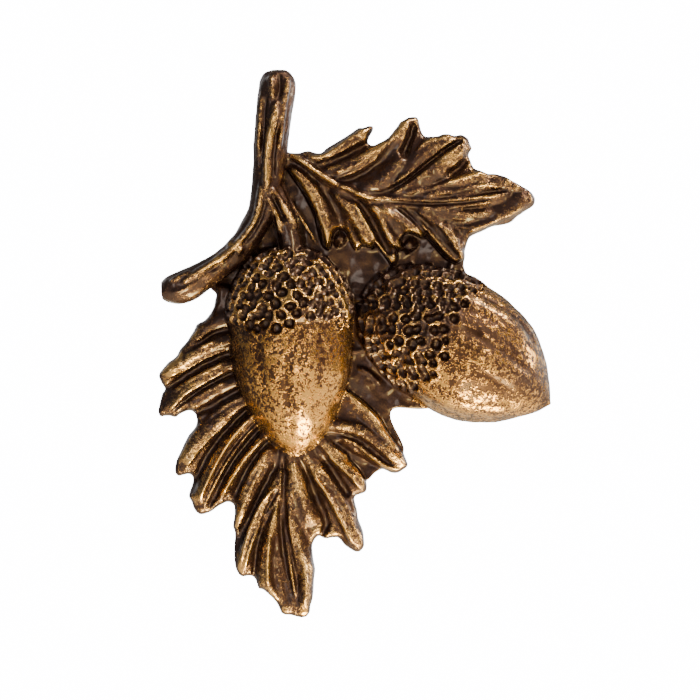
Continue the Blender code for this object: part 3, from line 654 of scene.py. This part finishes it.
def tooled(mesh, ridges, grooves, above):
    """Strokes on a round piece: its points move along their normals where they look forwards."""
    points = points_of(mesh)
    normals = normals_of(mesh)
    relief = carved(points[:, :2], ridges) - carved(points[:, :2], grooves)
    facing = np.clip(normals[:, 2] * 2.5, 0, 1) * (points[:, 2] > above)
    set_points(mesh, points + normals * (relief * facing)[:, None])
    return mesh


twig = bar(TWIG_PATH, TWIG_WIDTH, (TWIG_CENTRE_HEIGHT, TWIG_CENTRE_HEIGHT))
pieces.append(tooled(twig, TWIG_RIDGES, TWIG_GROOVES, TWIG_CENTRE_HEIGHT - 1))
stalk = bar(STALK_PATH, STALK_WIDTH, (TWIG_CENTRE_HEIGHT - 0.4, STALK_CENTRE_HEIGHT), seed=5.0)
pieces.append(tooled(stalk, TWIG_RIDGES, TWIG_GROOVES, TWIG_CENTRE_HEIGHT - 1))

# The wire-like edge that lies in the dark trough between the stalk and the upper leaf.
WIRE_WIDTH = 0.42
WIRE_HEIGHTS = (2.9, 2.3)
WIRE_PATH = [(281, 178, 1.0), (290, 199, 1.0), (300, 217, 1.0), (309, 231, 1.0), (316, 243, 1.0)]
pieces.append(bar(WIRE_PATH, WIRE_WIDTH, WIRE_HEIGHTS, voxel=0.10, furrow_depth=0.0))

# The acorns: turned nuts, half sunk in the casting, that end in a small nib, with domed cups over their
# broad ends. The cups are punched all over with round dimples in staggered rows, which leave a net of
# raised metal.
FRONT_NUT = {
    "tip": (296.5, 458.5), "lean": 2.7, "width": 14.1, "taper": 14.4, "visible": 16.3, "axis": 2.0,
    "fullness": 0.69,
}
FRONT_CUP = {"width": 14.9, "length": 8.5, "unevenness": 0.24}
SIDE_NUT = {
    "tip": (551, 404), "lean": 58.7, "width": 15.6, "taper": 11.6, "visible": 14.8, "axis": 0.9,
    "fullness": 0.8,
}
SIDE_CUP = {"width": 15.4, "length": 10.6, "unevenness": 0.34}
NUT_HIDDEN_IN_CUP = 2.0
NIB_RADIUS = 0.30
NUT_VOXEL = 0.2
ACORN_VOXEL = 0.14
DIMPLE_RADIUS = 0.68
DIMPLE_DEPTH = 0.62
LIP_HEIGHT = 0.20
DIMPLE_PITCH_ROUND = 1.42
DIMPLE_PITCH_ALONG = 1.22
DIMPLE_SPREAD = math.radians(84)
FRONT_NUT_CREASES = [
    (0.24, 0.60, [(292, 350), (288, 370), (287, 392), (289, 408)]),
    (0.14, 0.70, [(320, 334), (323, 360), (318, 388)]),
    (0.14, 0.70, [(258, 336), (260, 362), (268, 394)]),
]
FRONT_NUT_SWELLS = [
    (0.12, 1.60, [(308, 330), (310, 370), (304, 410), (299, 440)]),
    (0.10, 1.60, [(272, 330), (272, 370), (278, 405), (286, 436)]),
    (0.22, 1.00, [(340, 318), (344, 345), (340, 380)]),
]
SIDE_NUT_CREASES = [
    (0.14, 0.40, [(468, 290), (496, 303), (520, 322), (536, 346)]),
    (0.08, 0.50, [(456, 326), (480, 338), (506, 354), (530, 374)]),
    (0.08, 0.60, [(436, 352), (462, 364), (490, 378), (518, 392)]),
]
SIDE_NUT_SWELLS = [
    (0.34, 0.90, [(456, 296), (482, 306), (506, 320), (526, 342)]),
    (0.22, 1.60, [(446, 340), (474, 352), (502, 368), (528, 388)]),
    (0.30, 1.00, [(416, 384), (442, 400), (474, 410), (510, 408)]),
]

dimpled, given = geometry_tree(
    "Punched scales",
    {
        "Geometry": "Geometry",
        "Punch Places": "Object",
        "Dimple Radius": DIMPLE_RADIUS * MM,
        "Dimple Depth": DIMPLE_DEPTH * MM,
        "Lip Height": LIP_HEIGHT * MM,
    },
)
punches = add_node(
    dimpled, "GeometryNodeObjectInfo", {0: given.outputs["Punch Places"]}, transform_space="RELATIVE"
)
nearest = add_node(
    dimpled, "GeometryNodeProximity", {0: punches.outputs["Geometry"]}, target_element="POINTS"
)
where = add_node(dimpled, "GeometryNodeInputPosition")
uneven = add_node(dimpled, "ShaderNodeTexNoise", {"Vector": where, "Scale": 700.0, "Detail": 1.0})
stretch = mapped(dimpled, uneven, 0.3, 0.7, 0.78, 1.22)
radius = maths(dimpled, "MULTIPLY", given.outputs["Dimple Radius"], stretch)
across = maths(dimpled, "DIVIDE", nearest.outputs["Distance"], radius)
bowl = maths(dimpled, "SUBTRACT", 1.0, maths(dimpled, "POWER", across, 2.0))
bowl = maths(dimpled, "MULTIPLY", bowl, 1.5, use_clamp=True)
sunk = maths(dimpled, "MULTIPLY", bowl, given.outputs["Dimple Depth"])
off_lip = maths(dimpled, "SUBTRACT", across, 1.12)
off_lip = maths(dimpled, "POWER", off_lip, 2.0)
off_lip = maths(dimpled, "MULTIPLY", off_lip, -45.0)
lip = maths(dimpled, "MULTIPLY", maths(dimpled, "EXPONENT", off_lip), given.outputs["Lip Height"])
change = maths(dimpled, "SUBTRACT", lip, sunk)
end_tree(dimpled, given.outputs["Geometry"], outwards(dimpled, change))


def acorn_axis(nut):
    """The matrix that lays a turned shape's Z axis in the casting, from the nut's tip towards its cup."""
    x, y = drawn([nut["tip"]])[0]
    return (
        Matrix.Translation(Vector((x, y, nut["axis"])) * MM)
        @ Matrix.Rotation(math.radians(nut["lean"]), 4, "Z")
        @ Matrix.Rotation(-math.pi / 2, 4, "X")
    )


def turned(profile, placed=Matrix.Identity(4), sides=128):
    """A shape turned about its own Z axis. The profile runs down its outer side, as radius and height."""
    mesh = bpy.data.meshes.new("profile")
    points = [(r * MM, 0, z * MM) for r, z in profile]
    mesh.from_pydata(points, [(i, i + 1) for i in range(len(points) - 1)], [])
    thing = holder("turned", mesh)
    thing.matrix_world = placed
    screw = thing.modifiers.new("Turned", "SCREW")
    screw.steps = screw.render_steps = sides
    screw.use_merge_vertices = True
    screw.merge_threshold = 0.00002
    return plain_mesh(thing)


def nut(shape, swells, creases, seed):
    """A nut from inside its cup down to its nib, a little lumpy, with folds along its length."""
    steps = np.linspace(1, 0.012, 60)
    side = [
        (shape["width"] / 2 * math.sin(math.pi / 2 * t ** shape["fullness"]), shape["taper"] * t)
        for t in steps
    ]
    side = [(math.sqrt(r * r + NIB_RADIUS**2 * max(0, 1 - z / 1.2)), z) for r, z in side]
    top = shape["visible"] + NUT_HIDDEN_IN_CUP
    profile = [(0, top), (shape["width"] / 2, top), *side, (NIB_RADIUS, 0.0), (0.22, -0.22), (0.0, -0.30)]
    mesh = refined(turned(profile, acorn_axis(shape)), NUT_VOXEL)
    points = points_of(mesh)
    lumps = 0.16 * grain(points, 3.2, seed) + 0.05 * grain(points, 1.0, seed + 1)
    set_points(mesh, points + normals_of(mesh) * lumps[:, None])
    return tooled(mesh, swells, creases, shape["axis"])


def together(meshes):
    """One mesh of them all."""
    built = bmesh.new()
    for mesh in meshes:
        built.from_mesh(mesh)
    joined = bpy.data.meshes.new("together")
    built.to_mesh(joined)
    built.free()
    return joined


def cup_radius(cup, way):
    """The radius of a cup at a distance from its rim: a quarter of an ellipse."""
    return cup["width"] / 2 * math.sqrt(max(0, 1 - (way / cup["length"]) ** 2))


def acorn(shape, size, swells, creases, seed):
    """An acorn: its nut, the cup's dome over it, and the dimples, which leave the cup's rim ragged."""
    placed = acorn_axis(shape)
    rim = shape["visible"]
    dome = [
        (size["width"] / 2 * math.sin(a), rim + size["length"] * math.cos(a))
        for a in np.linspace(0, math.pi / 2, 40)
    ]
    lower = [(size["width"] / 2 - 0.15, rim - 0.3), (size["width"] / 2 - 0.6, rim - 0.7), (0.0, rim - 0.7)]
    both = together([turned([*dome, *lower], placed), nut(shape, swells, creases, seed)])
    centres = []
    way = -0.75 * DIMPLE_PITCH_ALONG
    row = 0
    while way < size["length"] * 0.995:
        step = DIMPLE_PITCH_ROUND / cup_radius(size, max(way, 0))
        half = int(DIMPLE_SPREAD / step)
        for place in range(-half, half + 1):
            if row == 0 and math.sin(7.0 * place) > 0:
                continue
            turn = size["unevenness"] * math.sin(12.9 * row + 7.3 * place)
            slide = size["unevenness"] * math.cos(5.1 * row + 9.7 * place)
            angle = (place + 0.5 * (row % 2) + turn) * step
            up = min(way + slide * DIMPLE_PITCH_ALONG, size["length"] * 0.97)
            out = cup_radius(size, max(up, 0)) - (0.3 if row == 0 else 0)
            centres.append((out * math.sin(angle) * MM, -out * math.cos(angle) * MM, (rim + up) * MM))
        share = max(way, 0) / size["length"]
        steepness = size["width"] / 2 / size["length"] * share / math.sqrt(1 - share**2)
        way += DIMPLE_PITCH_ALONG / math.hypot(1, steepness)
        row += 1
    places = bpy.data.meshes.new("punch places")
    places.from_pydata(centres, [], [])
    places.transform(placed)
    punches = holder("punch places", places)
    made = grown(holder("acorn", refined(both, ACORN_VOXEL)), dimpled, {"Punch Places": punches})
    bpy.data.objects.remove(punches)
    return made


pieces.append(acorn(FRONT_NUT, FRONT_CUP, FRONT_NUT_SWELLS, FRONT_NUT_CREASES, 5.0))
pieces.append(acorn(SIDE_NUT, SIDE_CUP, SIDE_NUT_SWELLS, SIDE_NUT_CREASES, 8.0))

# The casting. All of that is one skin of metal, flat behind, and rough as sand casting leaves it.
# Behind stands the round post, turned clean, whose end takes a number 8 screw of 32 threads to the inch.
CASTING_VOXEL = 0.145
MOST_TRIANGLES = 186000
POST_LENGTH = 12.0
POST_DIAMETER = 10.5
POST_ROOT_DIAMETER = 12.5
POST_SUNK = 0.8
POST_FILLET = 0.9
POST_CHAMFER = 0.35
THREAD_PITCH = 25.4 / 32
THREAD_MAJOR = 4.17
THREAD_MINOR = 3.5
HOLE_DEPTH = 9.5
MOUTH_DIAMETER = 4.6
MOUTH_DEPTH = 0.45
CUT_BEYOND = 0.2

skin = refined(together(pieces), CASTING_VOXEL)
points = points_of(skin)
points[:, 2] = np.maximum(points[:, 2], 0)
set_points(skin, points)

thing = holder("skin", skin)
lighter = thing.modifiers.new("Lighter", "DECIMATE")
skin.calc_loop_triangles()
lighter.ratio = min(1.0, MOST_TRIANGLES / len(skin.loop_triangles))
skin = plain_mesh(thing)

thread, given = geometry_tree(
    "Screw thread",
    {
        "Major": THREAD_MAJOR * MM,
        "Minor": THREAD_MINOR * MM,
        "Pitch": THREAD_PITCH * MM,
        "Depth": HOLE_DEPTH * MM,
    },
)
core = add_node(
    thread,
    "GeometryNodeMeshCylinder",
    {"Vertices": 48, "Side Segments": 96, "Radius": 1.0, "Depth": given.outputs["Depth"]},
)
where = add_node(thread, "GeometryNodeInputPosition")
apart = add_node(thread, "ShaderNodeSeparateXYZ", {0: where})
angle = maths(thread, "ARCTAN2", apart.outputs[1], apart.outputs[0])
turn = maths(thread, "DIVIDE", angle, math.tau)
rise = maths(thread, "DIVIDE", apart.outputs[2], given.outputs["Pitch"])
wave = maths(thread, "PINGPONG", maths(thread, "SUBTRACT", rise, turn), 0.5)
share = mapped(thread, wave, 0.06, 0.44, given.outputs["Minor"], given.outputs["Major"])
half = maths(thread, "MULTIPLY", share, 0.5)
flat = add_node(thread, "ShaderNodeCombineXYZ", {0: half, 1: half, 2: 1.0})
put = add_node(thread, "ShaderNodeVectorMath", {0: where, 1: flat}, operation="MULTIPLY")
end_tree(thread, core, {"Position": put})

thing = holder("thread", bpy.data.meshes.new("thread"))
thing.location.z = (-POST_LENGTH + (HOLE_DEPTH - CUT_BEYOND) / 2) * MM
hole = grown(thing, thread, {"Depth": (HOLE_DEPTH + CUT_BEYOND) * MM})
mouth = turned(
    [
        (0.0, -POST_LENGTH + MOUTH_DEPTH),
        (THREAD_MINOR / 2 - 0.3, -POST_LENGTH + MOUTH_DEPTH),
        (MOUTH_DIAMETER / 2, -POST_LENGTH - 0.02),
        (MOUTH_DIAMETER / 2, -POST_LENGTH - 0.4),
        (0.0, -POST_LENGTH - 0.4),
    ],
    sides=64,
)

root = POST_ROOT_DIAMETER / 2
slope = (POST_ROOT_DIAMETER - POST_DIAMETER) / 2 / POST_LENGTH
fillet = [
    (root + POST_FILLET * (1 - math.sin(a)), -POST_FILLET * (1 - math.cos(a)))
    for a in np.linspace(0, math.pi / 2, 9)
]
post_profile = [
    (0.0, POST_SUNK),
    (root + POST_FILLET, POST_SUNK),
    *fillet,
    (POST_DIAMETER / 2 + slope * POST_CHAMFER, -POST_LENGTH + POST_CHAMFER),
    (POST_DIAMETER / 2 - POST_CHAMFER * 0.8, -POST_LENGTH),
    (0.0, -POST_LENGTH),
]


def combined(mesh, other, operation):
    """The mesh cut by the other, or joined with it."""
    thing = holder("worked", mesh)
    step = thing.modifiers.new("Combined", "BOOLEAN")
    step.operation = operation
    step.object = tool = holder("tool", other)
    made = plain_mesh(thing)
    bpy.data.objects.remove(tool)
    return made


post = turned(post_profile, sides=96)
post = combined(combined(post, hole, "DIFFERENCE"), mouth, "DIFFERENCE")
casting_mesh = combined(skin, post, "UNION")


def blurred(grid, spread):
    """The grid with each cell averaged over its surroundings."""
    reach = int(3 * spread)
    weights = np.exp(-0.5 * (np.arange(-reach, reach + 1) / spread) ** 2)
    weights /= weights.sum()
    padded = np.pad(grid, reach)
    rows = sum(w * padded[i : i + grid.shape[0]] for i, w in enumerate(weights))
    return sum(w * rows[:, i : i + grid.shape[1]] for i, w in enumerate(weights))


# How far each point stands out of its surroundings, near and farther off: the polishing wheel reaches only
# the metal that stands out, and the dark oxide stays on the rest.
CELL = 0.1
WEB_BELOW = 1.9
points = points_of(casting_mesh)
cells = ((points[:, :2] - points[:, :2].min(0)) / CELL).astype(int) + 1
shape = tuple(cells.max(0) + 2)
front = np.full(shape, -1.0)
np.maximum.at(front, (cells[:, 0], cells[:, 1]), points[:, 2])
for _ in range(3):
    holes = front < 0
    spread_out = np.stack([np.roll(front, s, a) for s in (-1, 1) for a in (0, 1)])
    known = spread_out >= 0
    filled = np.where(known, spread_out, 0).sum(0) / np.maximum(known.sum(0), 1)
    front = np.where(holes & (known.sum(0) >= 2), filled, front)
metal = (front >= 0).astype(float)
front = np.where(front < 0, 0, front)


def stands_out(spread):
    """How far each point stands out of the mean height of its surroundings."""
    around = blurred(front * metal, spread / CELL) / np.maximum(blurred(metal, spread / CELL), 1e-3)
    return points[:, 2] - around[cells[:, 0], cells[:, 1]]


def on_acorn(shape, size):
    """How surely each point is on the nut's bare surface, on its cup and close beside the acorn, and where
    it is: how far to the right, and how far down to the tip."""
    placed = np.array(acorn_axis(shape).inverted())
    own = (np.column_stack([points * MM, np.ones(len(points))]) @ placed.T)[:, :3] / MM
    out = np.hypot(own[:, 0], own[:, 1])
    above_rim = own[:, 2] - shape["visible"]
    taper = np.clip(own[:, 2] / shape["taper"], 0, 1) ** shape["fullness"]
    body = shape["width"] / 2 * np.sin(math.pi / 2 * taper)
    dome = size["width"] / 2 * np.sqrt(np.clip(1 - (np.maximum(above_rim, 0) / size["length"]) ** 2, 0, 1))
    on_bare = np.clip(1.6 - np.abs(out - body) / 0.35, 0, 1)
    on_bare *= np.clip(-(above_rim + 0.2) / 0.5, 0, 1) * (points[:, 2] > 0.6)
    on_cup = np.clip(2.2 - np.abs(out - dome) / 0.6, 0, 1) * np.clip(above_rim / 0.4 + 1, 0, 1)
    on_cup *= above_rim < size["length"] + 0.5
    beside = np.clip((1.5 - (out - np.where(above_rim < 0, body, dome))) / 1.2, 0, 1)
    beside *= (own[:, 2] > -1) * (above_rim < size["length"] + 1)
    right = own[:, 0] / shape["width"] * 2
    return on_bare, on_cup, beside, right, -above_rim / shape["visible"]


near = stands_out(0.35)
middle = stands_out(0.9)
wide = stands_out(2.2)
front_bare, front_cup, front_beside, front_side, front_down = on_acorn(FRONT_NUT, FRONT_CUP)
side_bare, side_cup, side_beside, side_side, side_down = on_acorn(SIDE_NUT, SIDE_CUP)
cups = np.clip(front_cup + side_cup, 0, 1)
nuts = np.maximum(front_bare, side_bare)
flat = points[:, :2]
height = points[:, 2]
twigs = np.zeros(len(points))
for path, reach, sure, blend in ((TWIG_PATH, 2.7, 2.6, 0.4), (STALK_PATH, 1.8, 1.7, 0.3)):
    off = np.abs(along(flat, rounded(drawn([point[:2] for point in path])), reach)[0])
    twigs = np.maximum(twigs, np.clip((sure - off) / blend, 0, 1))
twigs *= (1 - cups) * (1 - nuts) * np.clip(height - 1, 0, 1)

# How bright the metal is rubbed, with light and shade painted in: first the leaves and the web, a little
# darker above 7 mm up the face, with oxide and painted shade beside the acorns and their bright rims, then
# the twig, the cups, where only the lips are gold, and the nuts, which are rubbed all over and carry painted
# light.
rub_and_painted_light = 0.27 + 1.1 * np.clip(near, -0.25, 0.35) + 0.35 * np.clip(middle, -0.5, 0.5)
rub_and_painted_light += 0.12 * np.clip(wide, -1, 1)
rub_and_painted_light -= 0.10 * np.clip((points[:, 1] - 7) / 1.5, 0, 1)
rub_and_painted_light = np.where(height > WEB_BELOW, np.maximum(rub_and_painted_light, 0.15), 0.8 * rub_and_painted_light - 0.25)
rub_and_painted_light -= 0.45 * carved(flat, WEB_RIDGES[-2:])
# Painted shade, together with the oxide of the corner, darkens the metal close beside the acorns.
rub_and_painted_light -= 0.24 * np.maximum(front_beside, side_beside)
for outline in (UPPER_OUTLINE, LOWER_OUTLINE):
    inside = np.abs(along(flat, rounded(drawn(outline), closed=True, step=0.6), 1.0)[0])
    rub_and_painted_light += 0.30 * np.clip(1 - np.abs(inside - 0.35) / 0.25, 0, 1) * (height > 1.6)
on_twig = 0.18 + 1.0 * carved(flat, TWIG_RIDGES) - 0.5 * carved(flat, TWIG_GROOVES)
rub_and_painted_light += (on_twig - rub_and_painted_light) * twigs
on_cup = 0.02 + 5.2 * np.clip(near - 0.17, 0, 0.19) * np.clip((height - 3) / 2.5, 0, 1)
on_cup += np.clip(0.06 * (height - 6), -0.2, 0.1)
on_cup *= 1 - np.clip(side_cup - front_cup, 0, 1) * np.clip(-1.2 * side_down - 0.2, 0, 0.75)
rub_and_painted_light += (on_cup - rub_and_painted_light) * cups
streaks = grain(np.column_stack([side_side * 7.8, 0 * side_side, side_down * 2.0]), 0.6, 4.0)
# Painted light on the front nut: lighter to the right and towards its tip, with painted shade under its cup.
front_nut_rub_and_painted_light = 0.48 + 0.08 * front_side + 0.20 * (front_down - 0.4)
# Painted highlights on the side nut: lighter along both long edges. The streaks across it are its own
# mottling.
side_nut_rub_and_painted_highlight = 0.40 + 0.16 * side_side**2 + 0.16 * streaks
wear_and_painted_light = np.where(front_bare > side_bare, front_nut_rub_and_painted_light, side_nut_rub_and_painted_highlight)
wear_and_painted_light -= 0.5 * (carved(flat, FRONT_NUT_CREASES) + carved(flat, SIDE_NUT_CREASES))
wear_and_painted_light += 0.5 * np.clip(near, -0.1, 0.1) + 0.25 * np.clip(middle - np.median(middle[nuts > 0.5]), -0.2, 0.2)
rub_and_painted_light = rub_and_painted_light * (1 - nuts) + wear_and_painted_light * nuts
behind = np.clip((0.6 - height) / 0.4, 0, 1)
from_behind = 0.12 + 0.10 * (height < -0.5) + 0.16 * (height < 0.2 - POST_LENGTH)
rub_and_painted_light += (from_behind - rub_and_painted_light) * behind
speckled = np.maximum(front_bare, 0.7 * side_bare) * (1 - behind)
lacquered = 1 - 0.85 * nuts - 0.3 * cups
for name, values in (("rub_and_painted_light", rub_and_painted_light), ("nut", speckled), ("lacquer", lacquered)):
    casting_mesh.attributes.new(name, "FLOAT", "POINT").data.foreach_set("value", values)

# Antique brass: yellow brass that was darkened all over with a brown oxide, rubbed back on a wheel, and
# lacquered. The high places show a warm gold, the recesses a purplish brown, and the lacquer puts a glint
# on the dark metal, less so on the acorns.
PIT_DEPTH = 0.06
brass = bpy.data.materials.new("antique lacquered brass")
brass.use_nodes = True
tree = brass.node_tree
tree.nodes.clear()
place = add_node(tree, "ShaderNodeTexCoord").outputs["Object"]
# The first attribute holds how far the metal is rubbed, with the painted shade beside the acorns and the
# painted light on the nuts.
wear_and_painted_light, nut_skin, lacquer = (
    add_node(tree, "ShaderNodeAttribute", attribute_name=name).outputs["Fac"]
    for name in ("rub_and_painted_light", "nut", "lacquer")
)


def sum_of(amount, times, base):
    """One input times a number or an input, added to another."""
    return maths(tree, "MULTIPLY_ADD", amount, times, base)


def cloudy(width, detail, roughness=0.5):
    """Noise around nought whose patches are about that many millimetres wide."""
    inputs = {"Vector": place, "Scale": 500 / width, "Detail": detail, "Roughness": roughness}
    return maths(tree, "SUBTRACT", add_node(tree, "ShaderNodeTexNoise", inputs), 0.5)


# Oxide specks 0.1 and 0.25 mm wide lie everywhere, thickest on the nuts, among patches 2 mm wide.
level = sum_of(cloudy(0.10, 2.0, 0.7), sum_of(nut_skin, 0.7, 0.9), wear_and_painted_light)
level = sum_of(cloudy(0.25, 3.0, 0.6), sum_of(nut_skin, 0.6, 1.3), level)
level = sum_of(cloudy(2.2, 2.0), sum_of(nut_skin, -0.5, 0.9), level)
bright = mapped(tree, level, 0.11, 0.78, kind="SMOOTHSTEP")
sharp = mapped(tree, level, 0.36, 0.60)
bright = add_node(tree, "ShaderNodeMix", {0: nut_skin, 2: bright, 3: sharp})
colour = add_node(tree, "ShaderNodeValToRGB", {"Fac": bright})
stops = colour.color_ramp.elements
stops[0].color = linear("#33201c")
stops[1].color = linear("#bd9962")
for position, shade in ((0.25, "#3e2b26"), (0.45, "#554136"), (0.68, "#705a44"), (0.86, "#937553")):
    stops.new(position).color = linear(shade)
on_acorns = maths(tree, "SUBTRACT", 1.0, lacquer)
tinted = add_node(
    tree,
    "ShaderNodeMix",
    {0: on_acorns, 6: colour, 7: linear("#e5dac3")},
    data_type="RGBA",
    blend_type="MULTIPLY",
).outputs[2]
dull = mapped(tree, bright, 0.0, 1.0, 0.36, 0.21)
solid_metal = mapped(tree, bright, 0.0, 0.6, 0.72, 0.95)
glaze = maths(tree, "MULTIPLY", mapped(tree, bright, 0.0, 0.4, 0.5, 0.05), lacquer)
depth = {"Distance": PIT_DEPTH * MM}
pits = add_node(tree, "ShaderNodeBump", {"Strength": 0.6, "Height": cloudy(0.25, 3.0, 0.6), **depth})
sunk = add_node(tree, "ShaderNodeBump", {"Strength": 0.7, "Height": bright, "Normal": pits, **depth})
metal_shader = add_node(
    tree,
    "ShaderNodeBsdfPrincipled",
    {
        "Base Color": tinted,
        "Metallic": solid_metal,
        "Roughness": dull,
        "Normal": sunk,
        "Coat Weight": glaze,
        "Coat Roughness": 0.12,
    },
)
add_node(tree, "ShaderNodeOutputMaterial", {"Surface": metal_shader})

# The casting stands up with its post's end on the door.
casting_mesh.transform(
    Matrix.Translation((0, -POST_LENGTH * MM, 0)) @ Matrix.Rotation(math.pi / 2, 4, "X")
)
casting_mesh.materials.clear()
casting_mesh.materials.append(brass)
casting_mesh.polygons.foreach_set("material_index", np.zeros(len(casting_mesh.polygons), np.int32))
casting_mesh.shade_smooth()
# The flat back is shaded flat, so that no streaks run over it from its rim.
smooth = [face.normal.y < 0.997 for face in casting_mesh.polygons]
casting_mesh.polygons.foreach_set("use_smooth", smooth)
casting_mesh.set_sharp_from_angle(angle=math.radians(60))
casting = holder("casting", casting_mesh)
casting.name = "knob"
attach(casting, "root")
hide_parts("knob_casting")

# The camera looks straight at the carved face through a long lens.
CAMERA_AWAY = 0.70
PICTURE_SIDE = 700 * UNIT * MM
lens = bpy.data.cameras.new("camera")
lens.sensor_width = 36
lens.lens = 36 * CAMERA_AWAY / PICTURE_SIDE
lens.clip_start = 0.01
lens.clip_end = 20
camera = holder("camera", lens)
x, z = drawn([(350, 350)])[0] * MM
camera.location = (x, -0.015 - CAMERA_AWAY, z)
camera.rotation_euler = (math.pi / 2, 0, 0)
bpy.context.scene.camera = camera
